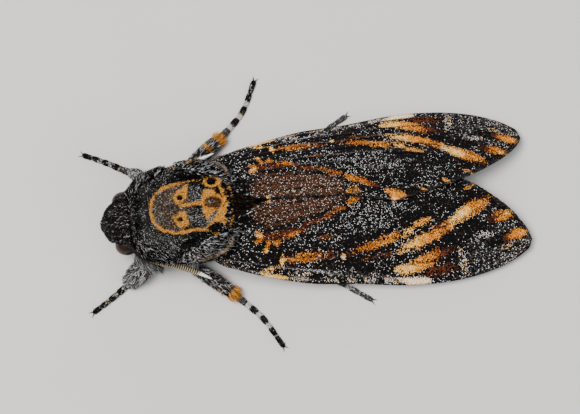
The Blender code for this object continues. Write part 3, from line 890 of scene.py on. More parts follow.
@dataclass
class Body:
    """Head, thorax and abdomen under one skin.

    Each outline row is x, half width, top and bottom. The skin lies inside them by the coat's depth.
    """


    thorax: Points = (
        (-11.6, 5.6, 12.9, 3.8), (-9.5, 6.9, 14.1, 3.2), (-7, 8, 15.1, 2.7), (-4, 8.8, 15.9, 2.3),
        (-1, 9.2, 16.4, 2.1), (3, 9.2, 16.4, 2.2), (6, 8.8, 15.9, 2.6), (10, 7.6, 14.6, 3.6),
    )
    head: Points = (
        (-16.4, 3.7, 9.2, 2.9), (-15, 4.1, 10, 2.5), (-13, 4.6, 11, 2.3), (-11, 4.9, 12, 2.8),
        (-7.5, 4.4, 12.6, 4.6),
    )
    abdomen: Points = (
        (5, 7, 12.4, 3.2), (10, 7.3, 12.4, 2.3), (14, 7.3, 12, 1.9), (20, 7, 11.2, 1.7),
        (26, 6.2, 10, 1.6), (32, 5, 8.6, 1.7), (37, 3.6, 7.1, 2.2), (41, 2.4, 6, 3),
    )
    thorax_ends: tuple[float, float] = (3.2, 4.6)
    head_ends: tuple[float, float] = (3.0, 1.5)
    abdomen_ends: tuple[float, float] = (2.0, 3.0)
    widest_level: float = 0.46
    power: float = 2.2
    ring_start: float = 10.5
    ring_length: float = 3.7
    ring_step: float = 0.2
    stations: int = 240
    sides: int = 120
    ring_stop: float = 38.0
    crowding: float = 0.25
    thinnest: float = 0.05
    depths: Points = (
        (-16.4, 0.35), (-14, 0.4), (-11.5, 0.45), (-8, 0.55), (6, 0.55), (12, 0.5), (41, 0.45),
    )

    def outline(self, table: Points, ends: tuple[float, float], x: Array) -> tuple[Array, Array]:
        """Read the outline of one part.

        Args:
            table: The part's rows.
            ends: Lengths of its rounding at the front and at the back.
            x: Stations along the body.

        Returns:
            Half width, top, bottom and widest level, shrunk as a quarter of an ellipse towards its
            ends, and whether the station is on the part.
        """
        rows = by_x(table, x)
        start, stop = table[0][0], table[-1][0]
        front = np.clip((start + ends[0] - x) / ends[0], 0, 1)
        back = np.clip((x - stop + ends[1]) / ends[1], 0, 1)
        shrink = np.sqrt((1 - front**2) * (1 - back**2))
        level = rows[:, 2] + self.widest_level * (rows[:, 1] - rows[:, 2])
        top = level + (rows[:, 1] - level) * shrink
        bottom = level - (level - rows[:, 2]) * shrink
        present = (x >= start) & (x <= stop)
        return np.stack([rows[:, 0] * shrink, top, bottom, level], -1), present

    def profile(self, x: Array) -> tuple[Array, Array, Array, Array]:
        """Join the outlines of the three parts.

        Args:
            x: Stations along the body.

        Returns:
            Half width, top, bottom and level: the furthest out of the parts at each station.
        """
        wide, top, bottom, level = np.full((4, len(x)), np.nan)
        tables = (self.head, self.thorax, self.abdomen)
        for table, ends in zip(tables, (self.head_ends, self.thorax_ends, self.abdomen_ends)):
            part, present = self.outline(table, ends, x)
            larger = present & ~(part[:, 0] <= wide)
            wide = np.where(larger, part[:, 0], wide)
            level = np.where(larger, part[:, 3], level)
            top = np.where(present & ~(part[:, 1] <= top), part[:, 1], top)
            bottom = np.where(present & ~(part[:, 2] >= bottom), part[:, 2], bottom)
        return wide, top, bottom, level

    def surface(self) -> Surface:
        """Work out the skin.

        Returns:
            Superellipses across x, of sizes that are means over five stations, with a step from
            each ring of the abdomen to the next. The stations are closer near both ends.
        """
        middle = np.arange(self.stations) + 0.5
        crowded = (1 - np.cos(np.pi * middle / self.stations)) / 2
        start, stop = self.head[0][0], self.abdomen[-1][0]
        even = middle / self.stations
        x = start + (stop - start) * (self.crowding * crowded + (1 - self.crowding) * even)
        sizes = (np.pad(size, 2, mode="edge") for size in self.profile(x))
        wide, top, bottom, level = (np.convolve(size, np.ones(5) / 5, mode="valid") for size in sizes)
        ringed = (x > self.ring_start) * (x < self.ring_stop)
        depth = by_x(self.depths, x) - self.ring_step * (self.ring_share(x) * ringed)
        turn = turns(self.sides)
        round_it = np.stack([np.cos(turn), np.sin(turn)])
        across, up = np.sign(round_it) * np.abs(round_it) ** (2 / self.power)
        sizes = (wide - depth, top - level - depth, level - bottom - depth)
        wide, rise, fall = (np.maximum(size, self.thinnest)[:, None] for size in sizes)
        y = wide * across
        z = level[:, None] + np.where(up > 0, rise, fall) * up
        return Surface(np.stack([np.broadcast_to(x[:, None], y.shape), y, z], -1))

    def ring_share(self, x: Array) -> Array:
        """How far through its ring of the abdomen a station is."""
        return np.mod((x - self.ring_start) / self.ring_length, 1)

    def shares(self, places: Array) -> Array:
        """Read the mixture of tones of the coat.

        Args:
            places: Points on the coat.

        Returns:
            The pattern of the thorax, with those of the underside, the head, the breast and the
            abdomen laid over it in their parts of the body.
        """
        x, _, z = np.moveaxis(places, -1, 0)
        plan = places[..., :2]
        found = lay(THORAX_PATTERN.shares(plan), ease(8.0, 5.0, z)[..., None], weights(UNDERSIDE))
        found = lay(found, ease(-9.2, -10.6, x)[..., None], HEAD_PATTERN.shares(plan))
        breast = ease(7.9, 7.0, z) * ease(2.4, 3.2, z) * ease(-11.0, -10.0, x) * ease(-6.0, -7.2, x)
        found = lay(found, breast[..., None], weights(WOOL))
        return lay(found, ease(7.6, 8.6, x)[..., None], self.abdomen_shares(places))

    def abdomen_shares(self, places: Array) -> Array:
        """Read the mixture of tones of the abdomen.

        Args:
            places: Points on the coat.

        Returns:
            Ochre rings with dark hind edges, a slate stripe along the back and a dark ruff.
        """
        x, y, z = np.moveaxis(places, -1, 0)
        ragged = 0.12 * (grain(places, 0.7, 41) - 0.5)
        band = ease(0.62, 0.74, self.ring_share(x) + ragged)
        stripe = ease(1.9, 1.2, np.abs(y) + 3 * ragged) * ease(6.5, 8.0, z)
        found = lay(weights(OCHRE_FUR), band[..., None], weights(BAND_FUR))
        found = lay(found, stripe[..., None], weights(SLATE_FUR))
        return lay(found, ease(16.5, 13.5, x)[..., None], weights(RUFF))


# Mixtures of the body's coat
VELVET = {BLACK: 94, GREY: 2, BROWN: 1, FROST: 3}
FROSTED = {BLACK: 86.5, GREY: 3, FROST: 10, BROWN: 0.5}
FACE = {BLACK: 87, BROWN: 3, GREY: 7, FROST: 3}
FACE_CLOUD = {BLACK: 83, BROWN: 4, GREY: 8, FROST: 5}
UNDERSIDE = {BLACK: 62, BROWN: 26, GREY: 12}
OCHRE_FUR = {ORANGE: 60, CREAM: 25, BROWN: 15}
BAND_FUR = {BLACK: 80, BROWN: 20}
SLATE_FUR = {GREY: 70, BLACK: 20, FROST: 10}
RUFF = {BLACK: 80, BROWN: 18, GREY: 2}
SPECKLED = {BROWN: 34, BLACK: 36, GREY: 16, CREAM: 4, FROST: 10}
GOLD = {ORANGE: 34, CREAM: 60, BROWN: 2, BLACK: 4}
PALE_GOLD = {ORANGE: 22, CREAM: 68, BROWN: 8, BLACK: 2}
RUST = {BROWN: 50, BLACK: 26, GREY: 12, ORANGE: 12}
INK_AND_SHADE = {BLACK: 96, GREY: 4}
RING = {ORANGE: 38, CREAM: 62}
RIME = {BLACK: 81, GREY: 3, FROST: 16}
WOOL = {GREY: 46, FROST: 40, BROWN: 8, BLACK: 6}
SOCKET = {BLACK: 72, GREY: 10, FROST: 18}
HOAR = {FROST: 24, GREY: 20, BLACK: 56}

# The skull, in x and y of the body, from its cranium at the front to the jaw at the back
SKULL_MARKS = (
    # Frost on both sides of the skull
    Mark(Stroke(((-9.4, -4.6), (-7.2, -6.2), (-4.2, -6.9), (-1.6, -7.4)), (0.8, 1.3, 1.3, 0.7)), RIME, 0.75,
         0.8, 0.8),
    Mark(Stroke(((-9.6, 4.2), (-7.4, 6.4), (-4, 7.3), (-0.8, 7.8)), (0.7, 1, 1, 0.7)), RIME, 0.55, 0.8, 0.8),
    Mark(Stroke(((-6.2, -4.9), (-3.6, -5.5), (-0.6, -5.4)), (0.5, 0.8, 0.6)), RIME, 0.7, 0.6, 0.8),
    # The cranium with its ring, pale fields and sockets
    Mark(Patch(((-7.2, 0), (-6.8, 2.2), (-5.9, 3.5), (-4.5, 4.3), (-1.6, 5), (0.5, 4.6), (1, 1), (0.6, -3.4),
         (-1.2, -4.3), (-4.7, -3.8), (-6.1, -3), (-6.9, -1.6))), SPECKLED, 0.95),
    Mark(Stroke(((1.2, -4.2), (0.2, -4.3), (-1.4, -4.5), (-3, -4.4), (-4.7, -3.8), (-5.95, -3), (-6.75, -1.9),
         (-7.15, -0.7), (-7.15, 0.6), (-6.8, 2.2), (-6, 3.4), (-4.8, 4.2), (-3.2, 4.75), (-1.4, 5)), 0.26),
         RING, 1, 0.1, 0.26),
    Mark(Stroke(((-1.4, 5), (0.4, 5.15), (2, 5.15), (3, 5.1)), 0.14), GOLD, 0.7, 0.12, 0.2),
    Mark(Stroke(((5.9, 4.2), (6.5, 2.9), (7.1, 1.2)), (0.3, 0.4, 0.4)), GOLD, 0.95, 0.12, 0.2),
    Mark(Patch(((-3, 2.3), (-1.6, 3.5), (-0.1, 4.5), (0.2, 3.6), (-0.1, 1.75), (-1.6, 0.9), (-2.4, 1))),
         PALE_GOLD),
    Mark(Patch(((-3.2, -1.6), (-2, -0.84), (-0.6, -0.43), (0, -3.1), (-1.2, -3.9), (-2.4, -3.2))), PALE_GOLD),
    Mark(Patch(((0.1, 1.3), (0.2, 4.1), (1.6, 4.3), (3, 3.4), (2.9, 1.4), (1.6, 1))), SOCKET, 0.95),
    Mark(Patch(((0.1, -0.4), (0.1, -3.6), (1.6, -4.1), (2.9, -3), (2.6, -1), (1.4, -0.2))), SOCKET, 0.95),
    Mark(Stroke(((-1.3, 0.36), (0.76, 0.62), (2.8, 0.5)), (0.3, 0.36, 0.5)), GOLD),
    # The jaw, the rings beside it, and the dark and pale dots in it and round it
    Mark(Patch(((3.1, 3), (4.8, 2.9), (6.15, 1.7), (7.5, 0.3), (7, -1.7), (5.9, -3.2), (4.4, -3.3), (3.2, -3),
         (2.6, -1.2), (2.5, 1.2))), GOLD),
    Mark(Spot((4.6, 0.6), (1.6, 1.05)), RUST, 1),
    Mark(Spot((4.4, 0.75), (0.7, 0.4)), HOAR, 0.4),
    Mark(Stroke(((1, -4.2), (2.7, -4.4), (4.1, -4.9), (5.5, -5.5)), 0.24), RING, 0.95, 0.12),
    Mark(Stroke(((2.7, -4.2), (5.25, -2.5), (6.4, -3.3)), 0.24), GOLD, 0.9, 0.12),
    Mark(Spot((4.9, -3.8), (0.9, 0.6)), INK_AND_SHADE),
    Mark(Spot((4.57, 4.85), (1.65, 1.25)), RING),
    Mark(Spot((4.57, 4.85), (0.95, 0.8)), INK_AND_SHADE, 1, 0.15, 0.15),
    Mark(Spot((-1.5, 2.03), (0.62, 0.58)), INK_AND_SHADE, 1, 0.1, 0.06),
    Mark(Spot((-1.75, -2.03), (0.6, 0.45)), INK_AND_SHADE, 1, 0.12, 0.1),
    Mark(Spot((-0.65, -3.7), (0.5, 0.3)), INK_AND_SHADE),
    Mark(Stroke(((3.3, -3), (4.6, -1.9), (5.2, -1)), (0.45, 0.4, 0.25)), HOAR, 0.9),
    Mark(Stroke(((5, -0.7), (6.8, -0.1)), 0.16), RUST, 0.7),
    Mark(Spot((7.15, 0), (0.45, 0.35)), {CREAM: 80, FROST: 20}, 0.8),
    Mark(Spot((6.5, -2.6), (0.4, 0.3)), {CREAM: 80, FROST: 20}, 0.7),
    Mark(Stroke(((-1.4, -6.9), (0.4, -6), (2.2, -5.1), (4.4, -4.9)), (0.5, 0.6, 0.4, 0.2)), INK_AND_SHADE, 1, 0.3, 0.2),
    Mark(Stroke(((-1.4, 6.9), (0.4, 6.1), (2.2, 5.4), (4.4, 5.6)), (0.4, 0.5, 0.35, 0.2)), INK_AND_SHADE, 1, 0.3, 0.2),
    Mark(Spot((7.3, 2.3), (0.5, 0.45)), INK_AND_SHADE, 0.9),
    Mark(Spot((6.8, 3.6), (0.55, 0.4)), INK_AND_SHADE, 0.9),
    Mark(Spot((7.5, 1.1), (0.4, 0.35)), INK_AND_SHADE, 0.9),
    Mark(Spot((7.4, -0.5), (0.4, 0.4)), INK_AND_SHADE, 0.9),
    Mark(Spot((6.8, -1.9), (0.4, 0.4)), INK_AND_SHADE, 0.9),
    Mark(Stroke(((7.7, 4.3), (8.2, 2.2), (8.3, 0), (8, -2.4), (7.4, -4.2)), 0.16), GOLD, 0.5, 0.2, 0.4),
)
FACE_MARKS = (
    Mark(Stroke(((-10.4, -4), (-11, 0), (-10.4, 4)), 0.9), RIME, 0.25, 0.8),
)
THORAX_PATTERN = Pattern(VELVET, FROSTED, SKULL_MARKS, 2.2, 21)
HEAD_PATTERN = Pattern(FACE, FACE_CLOUD, FACE_MARKS, 1.5, 31)


@dataclass
class Eye:
    """One large round compound eye, let into the side of the head."""

    side: Side
    centre: Triple = (-12.7, 4.15, 5.6)
    radii: Triple = (2.2, 1.95, 2.35)
    grid: tuple[int, int] = (48, 64)

    def build(self, material: Material) -> None:
        """Make the ellipsoid, by height angle and turn.

        Args:
            material: Its finish.
        """
        rows, sides = self.grid
        height = -np.pi / 2 + np.pi * (np.arange(rows) + 0.5)[:, None] / rows
        turn = turns(sides)[None, :]
        level = np.cos(height)
        ball = np.stack([level * np.cos(turn), level * np.sin(turn), np.sin(height) + 0 * turn], -1)
        centre = np.array(self.centre) * (1, self.side, 1)
        made = Piece(f"eye_globe_{self.side.word}", "eye", material, (f"eye_{self.side.word}",))
        made.from_tubes([Surface(centre + ball * self.radii)])


@dataclass(frozen=True)
class Bed:
    """A part of the coat: where it grows, how many tufts it has and their mean sizes in mm.

    It lies between the two x of its window, further than aside from the midline and between the
    heights low and high. Outward turns its tufts away from the midline, and over_eyes lets them
    hang over the eyes. Lean raises them on the right and lowers them on the left, by this share.
    Fade is the length before the window's back end in which they get smaller.
    """

    name: str
    slot: str
    window: tuple[float, float]
    count: int
    seed: int
    length: float
    height: float
    width: float
    aside: float = 0.0
    low: float = 0.0
    high: float = 99.0
    outward: float = 0.0
    over_eyes: bool = False
    lean: float = 0.0
    fade: float = 0.0

    def density(self, grid: Array) -> Array:
        """Work out how thickly the bed is planted.

        Args:
            grid: Points of the skin.

        Returns:
            0 outside the bed. Inside it rises with the height, because less is seen low down.
        """
        x, y, z = np.moveaxis(grid, -1, 0)
        inside = (x > self.window[0]) & (x < self.window[1]) & (np.abs(y) > self.aside)
        return (inside & (z > self.low) & (z < self.high)) * (0.45 + 0.55 * ease(3.5, 8.0, z))

    def fading(self, x: Array) -> Array:
        """The size of tufts at stations, as a share of their full size."""
        return 0.45 + 0.55 * ease(self.window[1], self.window[1] - self.fade, x)


BEDS = (
    Bed("coat_thorax_front", "dark_fur", (-11.2, 0.6), 32500, 51, 0.3, 0.5, 0.125),
    Bed("coat_thorax_back", "dark_fur", (0.4, 9.6), 32000, 52, 0.3, 0.5, 0.13),
    Bed("coat_shoulder", "dark_fur", (-11.6, -5.2), 9500, 56, 0.9, 1.15, 0.14, 3.6, 5, 12.4, 0.3, True, 0.35),
    Bed("coat_collar", "dark_fur", (-11.6, -5), 5000, 62, 1.3, 1.15, 0.11, 4.4, 7.9, 11.2, 0.8, True, 0.1),
    Bed("coat_breast", "dark_fur", (-10.6, -7.2), 3400, 63, 2, 1.8, 0.13, 4, 4.4, 7.6, 1.8, True, -0.5),
    Bed("coat_flank", "dark_fur", (-6, 1), 4000, 59, 1, 0.75, 0.15, 4.8, 3.8, 7.4, 0.3),
    Bed("coat_head", "head_fur", (-16.4, -10.2), 20000, 53, 0.55, 0.52, 0.12),
    Bed("coat_brow", "head_fur", (-13.3, -10), 5500, 57, 0.75, 0.75, 0.12, 3, 7.4, 99, 0.5, True, 0.4),
    Bed("coat_face", "head_fur", (-16.4, -14), 9000, 58, 1.1, 0.7, 0.12, 0, 3.4, 99, fade=1.8),
    Bed("coat_cheek", "head_fur", (-16.2, -14), 3000, 60, 0.7, 0.5, 0.12,
        1.2, 3.4, 8.6, 0.1, False, 0.3, 1.8),
    Bed("coat_ruff", "abdomen_fur", (8.6, 16.5), 9500, 54, 2.1, 0.75, 0.19),
    Bed("coat_abdomen", "abdomen_fur", (13, 40.6), 17000, 55, 1.3, 0.38, 0.21),
)


@dataclass
class BodyCoat:
    """The hair scales of the body, in beds that fall behind one another like tiles."""

    body: Body
    eye_rim: float = 1.05
    parting: tuple[float, float] = (-10.4, -11.8)
    sway: float = 0.28
    near_eyes: float = 0.45
    skin_shade: float = 0.55

    def lie(self, roots: Roots) -> Array:
        """Work out which way the hair lies.

        Args:
            roots: Where it grows.

        Returns:
            Directions of length one: back over the thorax and the abdomen, forwards and down over
            the face, with the change at the parting.
        """
        x, y, _ = roots.places.T
        backwards = np.stack([np.ones_like(x), 0.12 * np.sign(y) * ease(2, 7, np.abs(y)), 0 * x], -1)
        forwards = np.stack([-np.ones_like(x), 0.08 * y, -0.5 * np.ones_like(x)], -1)
        return in_plane(lay(backwards, ease(*self.parting, x)[:, None], forwards), roots.normals)

    def clear_of_eyes(self, places: Array) -> Array:
        """Whether places are outside both eyes."""
        aside = places * (1, 0, 1) + np.abs(places * (0, 1, 0))
        return np.linalg.norm((aside - Eye.centre) / Eye.radii, axis=-1) > self.eye_rim

    def grow(self, bed: Bed, finish: FurFinish, skin: Surface) -> Object:
        """Grow one bed of the coat.

        Args:
            bed: The bed.
            finish: Its finish.
            skin: The skin it grows on.

        Returns:
            The bed's piece.
        """
        rng = np.random.default_rng(bed.seed)
        roots = skin.scatter(bed.count, bed.seed, bed.density(skin.grid))
        roots = roots.only(self.clear_of_eyes(roots.places))
        x, y, _ = roots.places.T
        sway = in_plane(rng.normal(size=roots.places.shape), roots.normals)
        sway = self.sway * sway * rng.random((len(sway), 1))
        outward = np.stack([0 * x, np.sign(y), 0 * x], -1)
        lie = in_plane(self.lie(roots) + bed.outward * outward + sway, roots.normals)
        size = rng.uniform(0.7, 1.25, len(lie))
        if bed.fade:
            size = size * bed.fading(x)
        seen = roots.places + 0.6 * bed.length * lie + 0.5 * roots.normals
        colour = tuft_colours(self.body.shares(seen), rng, 1.3)
        if not bed.over_eyes:
            clear = self.clear_of_eyes(roots.places + lie * (bed.length * size)[:, None])
            size = np.where(clear, size, self.near_eyes * size)
        height = bed.height * rng.uniform(0.6, 1.15, len(lie)) * np.minimum(size + 0.2, 1)
        height = height * (1 + bed.lean * np.sign(y))
        # Frosty tufts are darker in the middle, for scales with pale tips; the rest of the darkening of the
        # tufts' roots and middles is painted shade
        cold = ease(0.25, 0.5, colour[:, 2] / np.maximum(colour[:, 0], 1e-4)) * (colour[:, 0] > 0.2)
        tufts = Tufts(roots, lie, bed.length * size, height, bed.width * size, colour, 0.3, 0.88 - 0.4 * cold)
        return tufts.build(Piece(bed.name, bed.slot, finish.make()))

    def build(self) -> None:
        """Make the skin and the beds of its coat."""
        skin = self.body.surface()
        tint = self.skin_shade * mean_colour(self.body.shares(skin.grid + 0.7 * skin.normals()))
        piece = Piece("body_skin", "dark_fur", SkinFinish("body_skin").make(), ("head", "thorax", "abdomen"))
        piece.from_tubes([skin], [tint])
        for bed in BEDS:
            self.grow(bed, FurFinish(bed.name.replace("coat", "fur")), skin)


@dataclass
class Palp:
    """A furry palp that stands up against the face."""

    side: Side
    route: Points = (
        (-12.8, 1.6, 3.6), (-14.2, 1.5, 2.8), (-15.3, 1.35, 3.9), (-15.4, 1.25, 5.8), (-14.8, 1.15, 7.2),
    )
    radii: tuple[float, ...] = (0.85, 1.0, 1.0, 0.85, 0.6)
    depth: float = 0.4
    tufts: int = 5000
    stations: int = 60
    sides: int = 28

    def build(self, skin_finish: Material, fur: FurFinish) -> None:
        """Make the palp's skin and its coat.

        Args:
            skin_finish: Finish of the skin.
            fur: Finish of the coat.
        """
        word = self.side.word
        shares = np.linspace(0, 1, self.stations)
        radii = curve_through(np.linspace(0, 1, len(self.radii)), self.radii, shares) - self.depth
        route = along(self.route, shares) * (1, self.side, 1)
        skin = tube(route, radii * rounding(shares, 0.1, 0.1), self.sides, (0, 1, 0))
        # Painted shade: the skin under the tufts is the coat's colour darkened to half
        tint = 0.5 * mean_colour(np.broadcast_to(weights(FACE), (*skin.grid.shape[:2], len(TONES))))
        Piece(f"palp_skin_{word}", "head_fur", skin_finish, (f"palp_{word}",)).from_tubes([skin], [tint])
        rng = np.random.default_rng(60 + self.side)
        roots = skin.scatter(self.tufts, 62 + self.side)
        lie = roots.combed(rng, 0.3)
        pale = ease(0.15, 0.5, roots.shares[:, :1])
        colour = picked_colour(lay(weights(SPECKLED), pale, weights(FACE_CLOUD)), rng.random(len(lie)))
        size = rng.uniform(0.7, 1.2, len(lie))
        coat = Tufts(roots, lie, 0.8 * size, 0.5 * size, 0.12 * size, colour)
        coat.build(Piece(f"coat_palp_{word}", "head_fur", fur.make()))


@dataclass
class Tongue:
    """The short tongue, coiled between the palps."""

    centre: tuple[float, float] = (-15.3, 2.8)
    outer: float = 1.3
    inner: float = 0.55
    turns: float = 1.35
    thickness: float = 0.28
    root: Triple = (-13.8, 0.0, 4.6)
    start: float = 60.0
    colour: Triple = (0.11, 0.045, 0.018)

    def build(self, material: Material) -> None:
        """Make a spiral whose radius falls evenly with the turn, with fine rings along it.

        Args:
            material: Its finish.
        """
        turn = np.linspace(0, 1, 150)
        angle = np.radians(self.start) + 2 * np.pi * self.turns * turn
        radius = self.outer + (self.inner - self.outer) * turn
        x, z = self.centre
        spiral = np.stack([x + radius * np.cos(angle), 0 * turn, z + radius * np.sin(angle)], -1)
        lead = self.root + np.linspace(0, 1, 14)[:-1, None] * (spiral[0] - self.root)
        path = np.vstack([lead, spiral])
        shares = np.linspace(0, 1, len(path))
        radii = self.thickness * (1 - 0.35 * shares) * rounding(shares, 0.01, 0.02)
        skin = tube(path, radii * (1 + 0.05 * np.sin(190 * shares)), 16, (0, 1, 0))
        tint = np.array(self.colour) * (0.7 + 0.6 * grain(skin.grid, 0.6, 71)[..., None])
        Piece("tongue_coil", "tongue", material, ("proboscis",)).from_tubes([skin], [tint])


@dataclass
class Tegula:
    """The lappet over a wing's root, as a pad that follows the thorax, with long hoary hair."""

    side: Side
    body: Body
    x: float = 3.0
    angle: float = 38.0
    half_length: float = 5.0
    half_angle: float = 13.0
    climb: float = 2.4
    gap: float = 0.3
    edge: float = 0.35
    crown: float = 0.8
    tufts: int = 10500
    sides: int = 72
    rows_under: int = 14
    rows_over: int = 24

    def on_outline(self, x: Array, angle: Array) -> Array:
        """Work out places on the outer surface of the thorax.

        Args:
            x: Stations.
            angle: Angles up from the widest level, in radians.

        Returns:
            Points of the superellipse at each station.
        """
        rows = by_x(self.body.thorax, x)
        level = rows[..., 2] + self.body.widest_level * (rows[..., 1] - rows[..., 2])
        across = np.cos(angle) ** (2 / self.body.power) * rows[..., 0]
        up = np.sin(angle) ** (2 / self.body.power) * (rows[..., 1] - level)
        rounded = self.body.thorax_ends[1]
        back = np.clip((x - self.body.thorax[-1][0] + rounded) / rounded, 0, 1)
        shrink = np.sqrt(1 - back**2)
        return np.stack([x, across * shrink, level + up * shrink], -1)

    def on_thorax(self, share: Array, turn: Array, height: Array) -> Array:
        """Work out points of the pad.

        Args:
            share: Their shares of the way to the rim.
            turn: Their turns round it.
            height: Their heights over the thorax.

        Returns:
            Points over an ellipse in x and in the angle up from the side of the thorax.
        """
        x = self.x + self.half_length * share * np.cos(turn)
        angle = self.angle + self.climb * (x - self.x) + self.half_angle * share * np.sin(turn)
        angle = np.radians(angle)
        place = self.on_outline(x, angle)
        lengthwise = self.on_outline(x + 0.01, angle) - place
        crosswise = self.on_outline(x, angle + 0.01) - place
        return (place + unit(np.cross(crosswise, lengthwise)) * height[..., None]) * (1, self.side, 1)

    def build(self, skin_finish: Material, fur: FurFinish) -> None:
        """Make the pad's skin and its coat.

        Args:
            skin_finish: Finish of the skin.
            fur: Finish of the coat.
        """
        turn = turns(self.sides)[None, :]
        share = np.concatenate([np.linspace(0.04, 1, self.rows_under), np.linspace(1, 0.03, self.rows_over)])
        share = share[:, None]
        under = (np.arange(len(share)) < self.rows_under)[:, None]
        height = np.where(under, self.gap, self.gap + self.edge + (self.crown - self.edge) * (1 - share**2))
        grid = self.on_thorax(share + 0 * turn, turn + 0 * share, height + 0 * turn)
        skin = Surface(grid[:, ::-1] if self.side is Side.RIGHT else grid)
        name = self.side.word
        # Painted shade: the pad's skin under its tufts is the coat's colour darkened
        tint = 0.55 * mean_colour(LAPPET_PATTERN.shares(skin.grid[..., :2] * (1, self.side)))
        Piece(f"lappet_skin_{name}", "dark_fur", skin_finish, (f"tegula_{name}",)).from_tubes([skin], [tint])
        rng = np.random.default_rng(83 + self.side)
        roots = skin.scatter(self.tufts, 85 + self.side, (~under) + 0.15 + 0 * turn)
        back = np.array((1.0, 0.25 * self.side, -0.1))
        lie = in_plane(back + 0.16 * rng.normal(size=roots.places.shape), roots.normals)
        size = rng.uniform(0.7, 1.25, len(lie))
        colour = tuft_colours(LAPPET_PATTERN.shares((roots.places[:, :2] + lie[:, :2]) * (1, self.side)), rng)
        length = np.where(roots.places[:, 0] < self.x - 0.55 * self.half_length, 0.6, 1.0) * size
        coat = Tufts(roots, lie, length, 0.32 * size, 0.12 * size, colour, 0.3, 0.8)
        coat.build(Piece(f"coat_lappet_{name}", "dark_fur", fur.make()))


LAPPET = {BLACK: 83, GREY: 6, FROST: 11}
LAPPET_CLOUD = {BLACK: 72, GREY: 8, FROST: 20}
LAPPET_MARKS = (
    Mark(Stroke(((0.8, 8.9), (3, 9), (4.6, 8.6)), 0.3), {GREY: 30, CREAM: 16, BROWN: 30, BLACK: 24},
         0.7),
    Mark(Stroke(((4.4, 8.9), (6, 8), (7.2, 6.9), (7.6, 6)), 0.14), {CREAM: 25, FROST: 40, BROWN: 35},
         0.8, 0.12),
    # Painted shade: a black band in the hollow in front of and inside the lappet
    Mark(Stroke(((-1, 7.6), (0.5, 6.6), (3, 5.6)), 0.4), INK_AND_SHADE, 0.9),
)
LAPPET_PATTERN = Pattern(LAPPET, LAPPET_CLOUD, LAPPET_MARKS, 1.6, 81)


@dataclass
class Feeler:
    """A stout feeler of short rings, each with a comb of pale bristles below, and a white hooked tip."""

    side: Side
    shared: Points = ((-12.9, 2.6, 8.2), (-12, 4.6, 9.3), (-10.2, 6.7, 9), (-7.8, 8, 8.3), (-4.9, 8.8, 7.4))
    left_end: Points = ((-1.2, 10.1, 6.3), (1.4, 11.3, 5.6), (2.7, 12.1, 5.5))
    right_end: Points = ((-0.8, 10.1, 6.4), (2.9, 11, 5.8), (5.1, 11.8, 5.6))
    radii: tuple[float, ...] = (0.42, 0.5, 0.62, 0.64, 0.6, 0.5, 0.18)
    hair_depth: float = 0.08
    rings: int = 46
    sides: int = 28
    tufts: int = 4000
    white_from: float = 0.87
    white: Triple = (0.86, 0.84, 0.78)
    bristle: Triple = (0.62, 0.5, 0.3)

    def tint(self, shares: Array, step: Array) -> Array:
        """Work out the colours of the shaft.

        Args:
            shares: Stations, as shares of its length.
            step: How far through its ring each station is.

        Returns:
            Black with a pale bar and pale teeth on each ring, and white at the tip.
        """
        white = ease(self.white_from - 0.03, self.white_from + 0.02, shares)[:, None, None]
        outer = np.cos(turns(self.sides)) * -self.side
        bar = (ease(0.42, 0.3, step) * ease(0.0, 0.1, step) * ease(0.3, 0.85, shares) ** 1.5)[:, None, None]
        teeth = (ease(0.42, 0.3, step) * ease(0.35, 0.55, shares))[:, None, None]
        teeth = ease(0.55, 0.8, np.abs(outer))[None, :, None] * teeth
        tint = lay(np.array(BLACK.value), np.maximum(bar * 0.9, teeth * 0.8), np.array(self.bristle))
        return lay(tint, white, np.array(self.white))

    def build(self, material: Material, fur: FurFinish) -> None:
        """Make the ringed shaft and its combs.

        Args:
            material: Finish of the shaft.
            fur: Finish of the bristles.
        """
        word = self.side.word
        route = self.shared + (self.left_end if self.side is Side.LEFT else self.right_end)
        shares = np.linspace(0, 1, 6 * self.rings + 1)
        step = np.mod(shares * self.rings, 1)
        radii = curve_through(np.linspace(0, 1, len(self.radii)), self.radii, shares) - self.hair_depth
        radii = radii * rounding(shares, 0.02, 0.02) * (0.93 + 0.13 * np.sin(np.pi * step) ** 0.6)
        shaft = tube(along(route, shares) * (1, self.side, 1), radii, self.sides)
        piece = Piece(f"feeler_shaft_{word}", "feeler", material, (f"antenna_{word}",))
        piece.from_tubes([shaft], [self.tint(shares, step)])
        turn = turns(self.sides)
        below = ease(0.1, -0.7, 0.4 * np.sin(turn) + np.cos(turn) * self.side)
        rng = np.random.default_rng(91 + self.side)
        density = 0.1 + below[None, :] * (0.3 + (step > 0.55)[:, None])
        roots = shaft.scatter(self.tufts, 93 + self.side, density)
        place = np.interp(roots.shares[:, 0], (0, 1), (0, self.rings))
        turn = roots.shares[:, 1] * 2 * np.pi
        lit = ease(0.1, -0.7, 0.4 * np.sin(turn) - np.cos(turn) * self.side)
        comb = (np.mod(place, 1) > 0.5) & (lit > 0.3)
        # One set of draws is passed over, which keeps the bristles where they are
        rng.normal(size=roots.places.shape)
        lie = roots.combed(rng, 0.15)
        chance = rng.random(len(lie))
        pale = comb & (rng.random(len(comb)) < ease(0.3, 0.55, roots.shares[:, 0]))
        colour = picked_colour(np.where(pale[:, None], weights(COMB), weights(SHAFT)), chance)
        colour = np.where((roots.shares[:, 0] > self.white_from)[:, None], np.array(self.white), colour)
        size = rng.uniform(0.75, 1.2, len(lie))
        length, height = np.where(comb, 0.14, 0.2) * size, np.where(comb, 0.2, 0.03) * size
        coat = Tufts(roots, lie, length, height, 0.05 * size, colour, 0.6)
        coat.build(Piece(f"coat_feeler_{word}", "feeler", fur.make()))


COMB = {CREAM: 40, BROWN: 25, BLACK: 35}
SHAFT = {BLACK: 85, GREY: 10, BROWN: 5}


# Wings

